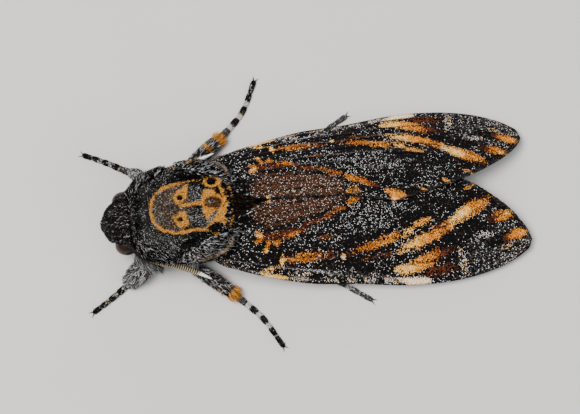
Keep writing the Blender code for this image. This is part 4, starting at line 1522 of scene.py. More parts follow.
def wing_plan(costa: Points, termen: Points, inner: Points, u: Array, v: Array) -> Array:
    """A grid over a wing's outline, seen from above, that follows its four edges.

    Args:
        costa: The front edge, from root to apex.
        termen: The outer edge, from apex to hind corner.
        inner: The inner margin, from root to hind corner.
        u: Shares of the way from the root to the outer edge.
        v: Shares of the way from the front edge to the inner margin.

    Returns:
        The sum of the grid between front and back edges and the grid between root and outer
        edge, less the grid between the four corners.
    """
    front, back = along(costa, u)[:, None], along(inner, u)[:, None]
    root = np.array(costa[0]) + v[:, None] * (np.array(inner[0]) - costa[0])
    tip = along(termen, v)
    u, v = u[:, None, None], v[None, :, None]
    corners = (1 - u) * (1 - v) * costa[0] + u * (1 - v) * np.array(costa[-1])
    corners = corners + (1 - u) * v * inner[0] + u * v * np.array(inner[-1])
    return (1 - v) * front + v * back + (1 - u) * root + u * tip - corners


@dataclass(frozen=True)
class Roof:
    """The roof that the closed wings make: heights of its ridge and of the wings' front edges, by x."""

    ridge: Points = (
        (2, 13.2), (10, 13.8), (14, 13.6), (20, 13), (30, 11.6), (38, 9.9), (44, 8.3),
        (50, 6.7), (56, 5.1), (60, 4), (64, 3),
    )
    edge: Points = (
        (2, 9.4), (8, 7.4), (12, 6), (16, 5), (22, 4), (30, 3.1), (40, 2.4),
        (50, 2), (60, 2), (64, 2.2),
    )
    width: Points = (
        (2, 7), (4.4, 9.9), (8.3, 11.4), (15, 13.3), (21, 14.6), (30, 15.4), (40, 16.5),
        (47, 16.5), (53, 15.7), (58.2, 14.2), (61.6, 12.5), (63.2, 11.2), (63.6, 10),
    )
    power: float = 2.2

    def height(self, x: Array, y: Array) -> Array:
        """Height over a place: the ridge's at the midline, falling by a power of y to the edge's."""
        ridge, edge, width = by_x(self.ridge, x), by_x(self.edge, x), by_x(self.width, x)
        return edge + (ridge - edge) * (1 - np.minimum(np.abs(y) / width, 1.0) ** self.power)


@dataclass
class Wing:
    """A wing as one thin sheet whose upper and lower faces meet round its edge."""

    side: Side
    name: str
    node: str
    slot: str
    costa: Points
    termen: Points
    inner: Points
    veins: tuple[float, ...]
    ground: Mixture
    cloud: Mixture
    marks: tuple[Mark, ...]
    under: Mixture
    roof: Roof = field(default_factory=Roof)
    steps: tuple[int, int] = (240, 92)
    thickness: float = 0.26
    rim: float = 0.05
    root_thickness: float = 0.9
    root_share: float = 0.16
    drop: float = 0.06
    tuck: float = 0.0
    tuck_growth: float = 1.7
    lift: float = 0.0
    lift_across: tuple[float, float] = (5.6, 10.8)
    lift_along: tuple[float, float] = (8.0, 14.0)
    vein_height: float = 0.24
    vein_half: float = 0.24
    fold: float = 0.13
    vein_ink: float = 0.7
    cloud_size: float = 1.5
    streak: float = 3.5
    fringe_count: int = 7000

    def plan(self) -> tuple[Array, Array, Array]:
        """Lay out the wing's outline.

        Returns:
            The plan as a grid that is closer near both margins, with its shares along and across.
        """
        u = np.linspace(0, 1, self.steps[0])
        even = np.linspace(0, 1, self.steps[1])
        v = (1 - np.cos(np.pi * even)) / 2 * 0.3 + even * 0.7
        return wing_plan(self.costa, self.termen, self.inner, u, v), u[:, None], v[None, :]

    def upper(self) -> tuple[Array, Array, Array, Array]:
        """Work out the wing's upper face.

        Returns:
            Its points on the roof, raised by the veins and by the soft folds between them, with
            the plan and its shares along and across.
        """
        plan, u, v = self.plan()
        x, y = plan[..., 0], plan[..., 1] * self.side
        y = y + self.tuck * u * np.sin(np.pi / 2 * np.minimum(v * self.tuck_growth, 1))
        z = self.roof.height(x, y)
        z = z + self.lift * (1 - ease(*self.lift_across, np.abs(y))) * ease(*self.lift_along, x)
        grid = np.stack([x, y, z], -1)
        breadth = np.linalg.norm(plan[:, -1] - plan[:, 0], axis=-1)[:, None]
        crest = self.crest(plan, v)
        gaps = np.abs(v[..., None] - np.asarray(self.veins)) * breadth[..., None]
        between = np.cos(np.pi * np.clip(gaps.min(axis=-1) / (0.06 * breadth + 0.01), 0, 1))
        fade = ease(0.0, 0.12, u) * ease(1.0, 0.93, u) * ease(0, 0.03, v) * ease(1, 0.97, v)
        ripple = (grain(plan, 1.1, 7) - 0.5) * 0.05
        height = (self.vein_height * crest + self.fold * between * 0.5 + ripple) * fade - self.drop
        return grid + self.upward(grid) * height[..., None], plan, u, v

    def crest(self, plan: Array, v: Array) -> Array:
        """Find the lines of the veins.

        Args:
            plan: The wing's plan.
            v: Its shares across.

        Returns:
            1 on a vein, fading to 0 beside it by a bell curve.
        """
        breadth = np.linalg.norm(plan[:, -1] - plan[:, 0], axis=-1)[:, None, None]
        gaps = np.abs(v[..., None] - np.asarray(self.veins)) * breadth
        return np.exp(-((gaps / self.vein_half) ** 2)).max(axis=-1)

    def upward(self, grid: Array) -> Array:
        """Upward normals of the wing's smooth form."""
        normals = unit(np.cross(np.gradient(grid, axis=0), np.gradient(grid, axis=1)))
        return normals * np.sign(normals[..., 2:])

    def outwards(self, upper: Array, lower: Array) -> Array:
        """Join the columns of the upper and the lower face so that the ring's faces point outwards."""
        order = [upper, lower[:, ::-1]] if self.side is Side.RIGHT else [upper[:, ::-1], lower]
        return np.concatenate(order, axis=1)

    def pattern(self) -> Pattern:
        """The wing's markings."""
        return Pattern(self.ground, self.cloud, self.marks, self.cloud_size, 5, self.streak)

    def build(self, material: Material) -> None:
        """Make the sheet and store its plan and its mixtures for the scales.

        Args:
            material: Its finish.
        """
        top, plan, u, v = self.upper()
        edge = np.minimum(np.minimum(ease(0, 0.05, v), ease(0, 0.05, 1 - v)), ease(0, 0.03, 1 - u))
        at_root = 1 - ease(0, self.root_share, u)
        thickness = self.rim + (self.thickness - self.rim) * edge
        thickness = thickness + (self.root_thickness - self.thickness) * at_root * edge
        skin = Surface(self.outwards(top, top - self.upward(top) * thickness[..., None]))
        rows, columns = skin.grid.shape[:2]
        near = np.arange(columns // 2 - 1)
        far = columns - 1 - near
        cap = np.stack([near, far, far - 1, near + 1], -1)
        caps = np.vstack([cap, cap[:, ::-1] + (rows - 1) * columns])
        piece = Piece(self.name, self.slot, material, (self.node,))
        made = piece.from_faces(skin.grid.reshape(-1, 3), np.vstack([skin.faces(), caps]))
        places = self.outwards(plan, plan)
        crest = self.crest(plan, v)
        crest = self.vein_ink * self.outwards(crest, crest)[..., None]
        shares = lay(self.pattern().shares(places), crest, weights(SOOT))
        is_top = (np.arange(columns) < columns // 2)[None, :, None]
        shares = np.where(is_top, shares, lay(shares, 0.65, weights(self.under)))
        limits = np.cumsum(shares, axis=-1)
        write_vector(made, "Plan", np.concatenate([places, 0 * places[..., :1]], -1).reshape(-1, 3))
        write_vector(made, "PickA", limits[..., :3].reshape(-1, 3))
        write_vector(made, "PickB", limits[..., 3:6].reshape(-1, 3))

    def fringe(self, fur: FurFinish, seed: int) -> None:
        """Grow the fringe of long scales on the outer edge and the hair on the root and inner margin.

        Args:
            fur: Its finish.
            seed: Picks the places of the tufts.
        """
        top, plan, u, v = self.upper()
        rng = np.random.default_rng(seed)
        flip = slice(None) if self.side is Side.RIGHT else slice(None, None, -1)
        skin = Surface(top[:, flip], False)
        u_all, v_all = u + 0 * v, (v + 0 * u)[:, flip]
        margin = ease(0.985, 1.0, u_all) * 6.0 + ease(0.985, 1.0, v_all) * 2.2
        hair = ease(0.12, 0.01, u_all) * 0.8 * ease(0.1, 0.5, v_all)
        roots = skin.scatter(self.fringe_count, seed, margin + hair + 0.001)
        shares = self.pattern().shares(self.read_plan(plan[:, flip], roots))
        at_edge = ease(0.97, 0.995, roots.shares[:, 0])[:, None]
        shares = lay(shares, 0.7 * at_edge, weights(FRINGE))
        lie = roots.combed(rng, 0.22)
        size = rng.uniform(0.7, 1.25, len(lie))
        hairy = ease(0.16, 0.01, roots.shares[:, 0])
        colour = tuft_colours(shares, rng)
        length, height, width = 0.34 + 0.6 * hairy, 0.06 + 0.16 * hairy, 0.17 + 0.02 * hairy
        coat = Tufts(roots, lie, length * size, height * size, width * size, colour, 0.7)
        coat.build(Piece(self.name.replace("sheet", "fringe"), self.slot, fur.make()))

    def read_plan(self, plan: Array, roots: Roots) -> Array:
        """Find roots on the plan.

        Args:
            plan: The plan, in the order of the surface they grow on.
            roots: The roots.

        Returns:
            The plan's places nearest to them.
        """
        rows, columns = plan.shape[:2]
        i = np.clip(np.rint(roots.shares[:, 0] * (rows - 1)).astype(int), 0, rows - 1)
        j = np.clip(np.rint(roots.shares[:, 1] * columns).astype(int), 0, columns - 1)
        return plan[i, j]


FRINGE = {GREY: 16, BROWN: 6, BLACK: 78}
NIGHT = {BLACK: 96.3, GREY: 1.8, FROST: 0.9, BROWN: 1}
STARRY = {BLACK: 88.5, GREY: 4.5, FROST: 5.8, BROWN: 1.2}
STARLIT = {BLACK: 86, GREY: 5, FROST: 7.5, BROWN: 1.5}
SABLE = {BLACK: 97.5, BROWN: 1, FROST: 0.5, GREY: 1}
TOBACCO = {BROWN: 42, BLACK: 44, MAROON: 8, FROST: 4, GREY: 2}
HAZE = {BLACK: 74, GREY: 17, BROWN: 5, FROST: 4}
HEM_AND_SHADOW = {BLACK: 86, BROWN: 6, GREY: 8}
VEIN_HIGHLIGHT = {BLACK: 6, GREY: 84, FROST: 10}
SOOT = {BLACK: 95, BROWN: 3, FROST: 2}
LICHEN = {CREAM: 70, ORANGE: 9, FROST: 6, BLACK: 15}
CHALK = {FROST: 56, CREAM: 38, BLACK: 6}
FLECKS = {CREAM: 12, BLACK: 64, GREY: 6, FROST: 18}
AMBER = {ORANGE: 54, CREAM: 6, MAROON: 22, BLACK: 18}
EMBER = {ORANGE: 30, MAROON: 42, BLACK: 28}
RUSSET = {ORANGE: 10, MAROON: 34, BROWN: 12, BLACK: 44}
WINE = {MAROON: 46, BLACK: 48, BROWN: 5, ORANGE: 1}
DUST = {BROWN: 17, GREY: 25, FROST: 8, CREAM: 2, BLACK: 48}
OCHRE = {ORANGE: 56, CREAM: 24, MAROON: 7, BLACK: 13}
BLAZE = {ORANGE: 56, CREAM: 12, MAROON: 16, BLACK: 16}
GILT = {CREAM: 84, ORANGE: 8, FROST: 8}
DUSK = {BLACK: 76, BROWN: 14, MAROON: 10}

# The wings' marks, in x and y of the plan before it is tucked, in the order in which they are laid
FORE_MARKS = (
    # Frosted and bare fields between the veins
    Mark(Patch(((3, 4), (4, 9.6), (9, 10.8), (11.6, 8), (11.4, 3), (9, 2.2))), STARLIT, 0.55, 1, 1.4),
    Mark(Patch(((17, 8.4), (18, 10), (25, 10.2), (29, 9.2), (28, 6.6), (21, 7.4))), STARLIT, 0.7, 0.9, 1.4),
    Mark(Patch(((30, 4.6), (29.6, 8.6), (36, 8.4), (40, 6.4), (40.6, 3.4), (35, 2.6))), STARLIT, 0.8, 0.9,
         1.4),
    Mark(Patch(((37, 9.6), (42, 8), (44, 4), (48, 4), (47, 8), (41, 10))), SABLE, 0.7, 0.8, 1.2),
    Mark(Patch(((29.6, 9.4), (36.5, 8.9), (37.4, 9.9), (30, 10.6))), SABLE, 0.8, 0.4, 0.8),
    Mark(Patch(((38, 12.9), (41, 12.5), (46, 11.4), (50, 9.6), (53, 9.2), (52, 10.6), (46, 12.4))), SABLE,
         0.9, 0.4, 0.8),
    Mark(Stroke(((19, 13.6), (24, 14.2), (30, 14.8), (37.5, 15.5)), 0.4), FLECKS, 0.95, 0.15, 0.2),
    # The brown field along the inner margin, with lines in it
    Mark(Patch(((11.4, 1), (12, 4), (14, 5.5), (20, 5.2), (25, 4.2), (28.6, 3), (29, 0.4), (18, 0.5))),
         TOBACCO, 0.95, 0.7, 1.2),
    Mark(Stroke(((12.6, 7), (16, 7.2), (20, 6.7), (24, 5.7), (28, 4.6)), (0.5, 0.6, 0.5, 0.4, 0.3)),
         ((12.6, RUSSET), (17, WINE), (28, RUSSET)), 0.75, 0.4, 0.5),
    Mark(Stroke(((13, 5.9), (17, 5.7), (21, 5.6), (26, 4.5)), 0.22), SOOT, 0.85, 0.25),
    # Dusty and dark lines near the front edge, and the inner margin's hem, whose dark line is partly painted
    # shadow
    Mark(Stroke(((3, 8.4), (5.5, 9.9), (8.4, 11.2), (12, 12.2)), 0.35), DUST, 0.8),
    Mark(Stroke(((6, 9.3), (10, 10.2), (14.5, 10.9), (20, 12.5), (28, 13.9), (34, 14.8)), 0.2), SOOT, 0.85,
         0.3),
    # The hem's own dark edge, with painted shadow where the right wing's edge lies over the left one
    Mark(Stroke(((15.5, 0.45), (22, 0.4), (30, -0.1), (37, -1.3)), 0.32), HEM_AND_SHADOW, 0.9, 0.12, 0.1),
    Mark(Stroke(((17, 12.6), (24, 13.2), (30, 14.1), (36, 14.7)), 0.3), DUST, 0.4, 0.3),
    # The pale zigzag near the root, dark squares, and streaks behind them
    Mark(Stroke(((12.4, 12), (13.4, 12.1), (14.2, 11.8)), (0.5, 0.62, 0.4)), LICHEN, 1),
    Mark(Stroke(((14.6, 12.7), (15.6, 13), (16.8, 13.4)), (0.4, 0.55, 0.3)), LICHEN, 1),
    Mark(Stroke(((15, 11.7), (16, 11.4), (16.5, 10.8), (16.2, 10.2)), (0.25, 0.4, 0.4, 0.25)), LICHEN, 1),
    Mark(Stroke(((14.3, 12.5), (14.8, 11.9)), 0.2), SOOT, 0.9),
    Mark(Stroke(((11.3, 11), (14.2, 11.2)), 0.25), SOOT, 0.8),
    Mark(Spot((19.4, 13.6), (2, 0.45)), FLECKS, 0.7),
    Mark(Stroke(((17.8, 10.8), (20.2, 11), (23.4, 11.2), (26.2, 11.1)), (0.45, 0.6, 0.5, 0.35)), ((18, AMBER),
         (20.6, AMBER), (22.6, EMBER), (26, WINE)), 0.9, 0.35),
    Mark(Patch(((23.3, 12.2), (23.3, 13.1), (25.2, 13.2), (25.2, 12.3))), SOOT, 1, 0.1, 0.12),
    Mark(Patch(((25.8, 11.9), (26, 12.7), (28.6, 12.8), (28.8, 12.1))), SOOT, 1, 0.1, 0.12),
    Mark(Patch(((30.6, 12.8), (30.6, 13.5), (33.2, 13.6), (33.2, 12.9))), SOOT, 1, 0.1, 0.12),
    Mark(Patch(((34.4, 13.6), (34.6, 14.8), (37.2, 15), (36.9, 13.8))), SOOT, 1, 0.1, 0.12),
    Mark(Spot((27.7, 11.6), (0.46, 0.42)), {CREAM: 70, FROST: 30}, 1, 0.1, 0.05),
    Mark(Stroke(((28.6, 11.4), (31, 11), (34, 10.6), (38, 9.9)), (0.3, 0.4, 0.55, 0.45)), ((28.6, WINE),
         (31.5, EMBER), (33.5, AMBER), (36.5, OCHRE), (38, AMBER)), 0.9, 0.3),
    Mark(Stroke(((31, 12.5), (35, 12.1), (38.4, 12)), (0.2, 0.3, 0.25)), RUSSET, 0.5, 0.3),
    Mark(Stroke(((13.5, 8.9), (14, 8.1)), (0.45, 0.4)), AMBER, 0.95),
    Mark(Spot((13.4, 9.1), (0.4, 0.4)), LICHEN, 0.7),
    Mark(Spot((15.6, 8.2), (0.7, 0.42)), AMBER, 0.9),
    Mark(Stroke(((11.7, 7.4), (12.6, 7), (12.1, 6.1)), (0.3, 0.5, 0.35)), AMBER, 0.95),
    Mark(Spot((12.5, 6.6), (0.4, 0.3)), LICHEN, 0.8),
    Mark(Stroke(((17.2, 7.7), (18.4, 7.4), (19.8, 7)), (0.3, 0.35, 0.2)), AMBER, 0.8),
    Mark(Stroke(((23.4, 5.7), (25.6, 5.2), (28.6, 4.4)), (0.16, 0.2, 0.16)), EMBER, 0.6),
    Mark(Spot((24.3, 8.6), (1.1, 0.4)), RUSSET, 0.6),
    Mark(Stroke(((29.2, 3.8), (31.4, 3), (33.6, 2.2), (35.2, 1.5)), (0.3, 0.55, 0.55, 0.25)), ((29.4, AMBER),
         (31.4, AMBER), (33, EMBER), (34.6, WINE)), 0.95),
    Mark(Spot((30.6, 0.9), (1.4, 0.75)), {ORANGE: 30, CREAM: 10, BROWN: 30, BLACK: 30}, 0.6),
    Mark(Spot((14.7, 0.75), (0.3, 0.2)), {CREAM: 85, FROST: 15}, 1, 0.1, 0.05),
    Mark(Patch(((37.2, 13.4), (38.5, 12.6), (41, 12.7), (42, 12), (40, 12.4), (37.4, 12.5))), SOOT, 0.7),
    # The pale band across the wing, with the streaks that start from it
    Mark(Stroke(((38, 15.5), (40, 15.9), (42.3, 16), (43.6, 16.3)), (0.35, 0.5, 0.6, 0.3)), CHALK, 1),
    Mark(Stroke(((37.5, 14.2), (39.5, 14.3), (42, 13.8), (45, 13), (49.2, 11.4)),
         (0.5, 0.75, 0.85, 0.8, 0.3)), ((38, LICHEN), (40.2, LICHEN), (41.6, OCHRE), (43.6, BLAZE),
         (45.2, EMBER), (46.6, WINE), (49, DUSK)), 1, 0.4),
    Mark(Stroke(((42.2, 15.4), (44, 15.2), (46, 14.9), (48.8, 14.4)), (0.25, 0.45, 0.65, 0.3)),
         ((42.2, EMBER), (43.2, WINE), (45.2, WINE), (48.8, DUSK)), 1, 0.3),
    Mark(Stroke(((37.8, 12), (39.4, 11.9), (41, 11.8)), 0.35), FLECKS, 0.9),
    Mark(Stroke(((38.3, 12), (41.4, 11.3), (44.8, 10), (48.6, 8.7)), (0.3, 0.62, 0.9, 0.6)), ((38.8, LICHEN),
         (40.8, LICHEN), (42.4, OCHRE), (44.6, BLAZE), (46.2, BLAZE), (47.2, EMBER), (48, AMBER),
         (48.8, LICHEN)), 1, 0.42),
    Mark(Stroke(((44.2, 10), (46, 9.4), (47.8, 8.8)), (0.15, 0.34, 0.15)), EMBER, 0.85, 0.25, 0.5),
    Mark(Stroke(((39.2, 10), (40.6, 9.4), (41.4, 9.1)), (0.3, 0.4, 0.2)), LICHEN, 0.7, 0.3),
    Mark(Stroke(((41.6, 8.8), (43.2, 8.4), (44.4, 8)), (0.35, 0.45, 0.25)),
         {ORANGE: 40, CREAM: 30, BLACK: 30}, 0.9),
    Mark(Patch(((44.2, 7.4), (45.6, 7.9), (47.7, 7.4), (47, 6.2), (44.6, 6.3))), SOOT, 1),
    Mark(Spot((42.9, 4.9), (1, 0.9)), SOOT, 0.8),
    # Bare and dark lines between the streaks
    Mark(Stroke(((46, 12.2), (49.3, 10.9), (52.5, 9.8), (56, 8.8)), (0.3, 0.8, 0.9, 0.6)), SABLE, 0.95, 0.35),
    Mark(Stroke(((40.6, 12.9), (44, 12.2), (47, 11), (50, 9.9)), (0.2, 0.35, 0.35, 0.3)), SOOT, 0.9, 0.3),
    Mark(Stroke(((42.6, 9.9), (45.5, 9), (49, 7.3)), (0.2, 0.35, 0.3)), SOOT, 0.85, 0.3),
    Mark(Stroke(((45, 14), (49, 13), (53, 11.6)), (0.25, 0.4, 0.3)), SOOT, 0.8, 0.3),
    Mark(Stroke(((50, 6.6), (54, 5)), (0.3, 0.3)), SOOT, 0.8, 0.3),
    Mark(Stroke(((28.6, 10.4), (33, 9.6), (37.6, 8.9)), (0.2, 0.4, 0.3)), SOOT, 0.8, 0.4),
    Mark(Stroke(((13, 10), (18, 9.8), (24, 9.9)), (0.3, 0.4, 0.3)), SOOT, 0.8, 0.4),
    Mark(Stroke(((33, 4.2), (38, 3.4), (43, 2.6)), (0.25, 0.4, 0.3)), SOOT, 0.7, 0.5),
    Mark(Patch(((52, 13), (53, 14.4), (56.5, 14), (58, 12.9), (55, 12.2))), SOOT, 0.8, 0.4, 0.5),
    # The streaks near the tip, with gilt ends, and the haze round them
    Mark(Stroke(((48.4, 8.7), (50.6, 7.7), (52.6, 6.8), (54.4, 5.9), (56.6, 4.8)),
         (0.36, 0.72, 0.85, 0.78, 0.4)), ((48.4, LICHEN), (51.2, LICHEN), (52.4, OCHRE), (53.6, AMBER),
         (55, BLAZE), (56.6, OCHRE)), 1, 0.35),
    Mark(Stroke(((52.6, 6.5), (54.4, 5.6), (56, 4.9)), (0.12, 0.26, 0.12)), EMBER, 0.85, 0.2, 0.4),
    Mark(Stroke(((55.4, 5.4), (56.7, 4.7)), (0.08, 0.2)), GILT, 0.9, 0.1, 0.05),
    Mark(Stroke(((50, 13), (50.4, 14.2), (50.2, 15)), 0.7), FLECKS, 0.85),
    Mark(Patch(((50.5, 15.9), (52, 11), (57, 9), (62, 8.6), (64, 10.4), (60, 14.6))), HAZE, 0.8, 1, 1),
    Mark(Spot((58.5, 11.7), (1.6, 0.6)), FLECKS, 0.8),
    Mark(Spot((54.6, 10.2), (1.2, 0.4)), FLECKS, 0.7),
    Mark(Patch(((57, 14.3), (57.5, 10.4), (63.4, 10.2), (62.5, 12.2), (60, 13.5))), DUST, 0.35, 0.5, 0.8),
    Mark(Stroke(((56.4, 11.2), (60, 10), (62, 9.2), (60.8, 7), (58, 5.6), (55, 4.2)), 0.8), SABLE, 0.85, 0.4,
         0.5),
    Mark(Stroke(((58.6, 10.5), (61.2, 9.6), (63.2, 8.9)), (0.45, 0.68, 0.34)), ((58.8, WINE), (60.2, BLAZE),
         (62, BLAZE), (63, OCHRE)), 1, 0.35),
    Mark(Stroke(((61.8, 9.4), (63.3, 8.9)), (0.06, 0.22)), GILT, 0.9, 0.1, 0.05),
    Mark(Stroke(((55.6, 8.3), (58.6, 7.4), (60.5, 6.5)), (0.4, 0.72, 0.32)), ((55.6, DUSK), (56.8, WINE),
         (57.8, BLAZE), (59.6, BLAZE), (60.4, OCHRE)), 1, 0.35),
    Mark(Stroke(((59.2, 7), (60.6, 6.4)), (0.06, 0.22)), GILT, 0.9, 0.1, 0.05),
    # The front edge over all of them: frost, four dark squares, and a painted highlight along its vein
    Mark(Stroke(((17.4, 12.9), (21, 13.5), (26, 14.4), (32, 15.1), (37, 15.7)), 0.42), FLECKS, 0.8, 0.12,
         0.1),
    Mark(Patch(((21.3, 13.1), (21.3, 14.9), (23.4, 15.1), (23.4, 13.4))), SOOT, 1, 0.06, 0.08),
    Mark(Patch(((26.4, 13.9), (26.4, 15.3), (27.9, 15.5), (27.9, 14.2))), SOOT, 1, 0.06, 0.08),
    Mark(Patch(((29.7, 14.3), (29.7, 15.8), (31.3, 15.9), (31.3, 14.5))), SOOT, 1, 0.06, 0.08),
    Mark(Patch(((33.4, 14.7), (33.4, 16), (35, 16.2), (35, 14.9))), SOOT, 1, 0.06, 0.08),
    # Painted highlight: a grey line along the vein of the front edge
    Mark(Stroke(((6, 9.5), (11, 10.5), (16.2, 11.8), (22.3, 13), (26.7, 13.9), (32.3, 14.55), (38.1, 15.1)),
         0.15), VEIN_HIGHLIGHT, 0.9, 0.06, 0.05),
    Mark(Spot((13.3, 12.85), (1.3, 0.3)), GILT, 0.95, 0.08, 0.1),
    # The short streaks of the inner margin
    Mark(Stroke(((46.6, 2.6), (50, 3.6), (54, 4.8)), 0.9), SABLE, 0.6, 0.5, 0.6),
    Mark(Stroke(((51.8, 3.9), (53.4, 3)), (0.1, 0.26)), ((51.8, BLAZE), (52.8, BLAZE), (53.3, GILT)), 1, 0.12,
         0.08),
    Mark(Stroke(((47.7, 2.3), (48.8, 1.4)), (0.1, 0.26)), ((47.7, BLAZE), (48.4, BLAZE), (48.8, GILT)), 1,
         0.12, 0.08),
    Mark(Stroke(((43, 0.9), (44.1, 0.2)), (0.1, 0.24)), ((43, BLAZE), (43.7, BLAZE), (44, GILT)), 1, 0.12,
         0.08),
    Mark(Patch(((36.2, 0.9), (38, 0.7), (39.8, 0.1), (40.5, -0.8), (39, -1.3), (37.4, -0.5))), BLAZE, 1, 0.12,
         0.2),
    Mark(Spot((38.2, -1.2), (0.5, 0.35)), GILT, 0.8),
)
HIND_MARKS = (
    Mark(Stroke(((26, 4), (29, 9), (31, 14)), 0.9), DUSK, 0.9, 0.4),
    Mark(Stroke(((33.5, 4), (37, 8.5), (39.5, 14.5)), 1.3), DUSK, 0.9, 0.4),
    Mark(Patch(((7, 4), (7, 10), (12, 8), (14, 5.5))), DUSK, 0.5, 0.8),
)


# The edges of the wings' plans: the front one from the root, the outer one from the apex and the
# inner one from the root
FORE_COSTA = Roof.width
FORE_TERMEN = ((63.6, 10), (63, 8.9), (60.8, 6.8), (56.8, 4.6), (49, 1.5), (42, -0.4), (38.2, -1.6))
FORE_INNER = ((8.5, 2.6), (10.5, 1.6), (13, 0.8), (16, 0.4), (22, 0.3), (30, -0.2), (38.2, -1.6))
HIND_COSTA = ((6.6, 6), (9.5, 9.3), (14, 11.6), (22, 13), (32, 13.8), (40, 13.8), (44, 12.4), (45.4, 10.4))
HIND_TERMEN = ((45.4, 10.4), (45, 8.6), (43.2, 7), (40.4, 5.8), (37.6, 5.2))
HIND_INNER = ((8.6, 5.4), (14, 6.1), (20, 6.2), (28, 5.8), (37.6, 5.2))


def make_wings() -> list[Wing]:
    """Lay out the four wings.

    Returns:
        Fore and hind wing of each side. The left fore wing is tucked under the right one, which
        is lifted over it.
    """
    made = []
    for side in Side:
        tuck, lift = (4.4, 0.0) if side is Side.LEFT else (0.0, 1.15)
        made.append(Wing(
            side, f"forewing_sheet_{side.word}", f"forewing_{side.word}", "fore_wing",
            FORE_COSTA, FORE_TERMEN, FORE_INNER, (0.055, 0.13, 0.22, 0.32, 0.43, 0.54, 0.65, 0.76, 0.88),
            NIGHT, STARRY, FORE_MARKS, DUST, tuck=tuck, lift=lift,
        ))
        made.append(Wing(
            side, f"hindwing_sheet_{side.word}", f"hindwing_{side.word}", "hind_wing",
            HIND_COSTA, HIND_TERMEN, HIND_INNER, (0.1, 0.28, 0.46, 0.64, 0.82),
            OCHRE, OCHRE, HIND_MARKS, OCHRE, steps=(120, 50), drop=1.25, root_thickness=0.3,
            vein_height=0.12, fringe_count=1800, vein_ink=0.0,
        ))
    return made


# Legs

@dataclass(frozen=True)
class LegPair:
    """What the two legs of a pair share: thickness, spurs and the tones of their parts.

    Bow is how far the shin bends up, spurs are their shares of its length, fluff is the depth of
    the coat and hair its length, and band is how white the rings of the foot are.
    """

    thigh: float
    shin: float
    bow: float
    spurs: tuple[float, ...]
    fluff: float
    hair: float
    shin_mix: Mixture
    foot_mix: Mixture
    band: float
    tufts: int


FLUFFY = {GREY: 50, FROST: 28, BROWN: 12, BLACK: 10}
DARK_LEG = {BLACK: 56, GREY: 24, FROST: 14, BROWN: 6}
TUFT_GOLD = {ORANGE: 60, CREAM: 40}
INKY_LEG = {BLACK: 88, GREY: 8, FROST: 4}
GREY_LEG = {GREY: 46, BLACK: 40, FROST: 10, BROWN: 4}
WHITE_BAND = {CREAM: 12, FROST: 78, GREY: 10}

PAIRS = {
    "front": LegPair(1.35, 1.4, 0.3, (), 0.42, 1.1, FLUFFY, INKY_LEG, 0.35, 9500),
    "middle": LegPair(1.2, 1.05, 0.5, (0.93,), 0.32, 1.2, DARK_LEG, INKY_LEG, 1.0, 8500),
    "hind": LegPair(1.1, 0.95, 0.6, (0.6, 0.93), 0.28, 1.0, DARK_LEG, GREY_LEG, 0.6, 7500),
}
LEG_PLACES = {
    "front_left": ((-4.4, -4.2, 5), (-9.1, -7.9, 4), (-12.5, -10.2, 1.7), (-16.2, -12.9), (-20.4, -15.6)),
    "front_right": ((-4.4, 4.2, 5), (-8.3, 8.4, 4), (-11.2, 10.5, 1.7), (-15.5, 12.9), (-20.1, 15)),
    "middle_left": ((1, -4.6, 4.8), (-0.7, -9, 3.1), (6.6, -14.8, 1.5), (11, -19.2), (14.9, -25.5)),
    "middle_right": ((1, 4.6, 4.8), (-0.6, 9.2, 3.1), (6.3, 15.3, 1.5), (10.9, 20.1), (14, 26.3)),
    "hind_left": ((3.4, -4.6, 4.8), (10.2, -9.7, 4.2), (20.4, -10.2, 1.5), (27.6, -15), (32.4, -18.3)),
    "hind_right": ((3.4, 4.6, 4.8), (10, 9.7, 4.2), (19.6, 10.4, 1.5), (26.8, 15.2), (31, 17.7)),
}

# How long a leg's wool is and how far its thigh bends out, where it isn't as in its pair
LEG_WOOL = {"front_left": (1.15, 0.8), "front_right": (0.3, 0.0)}


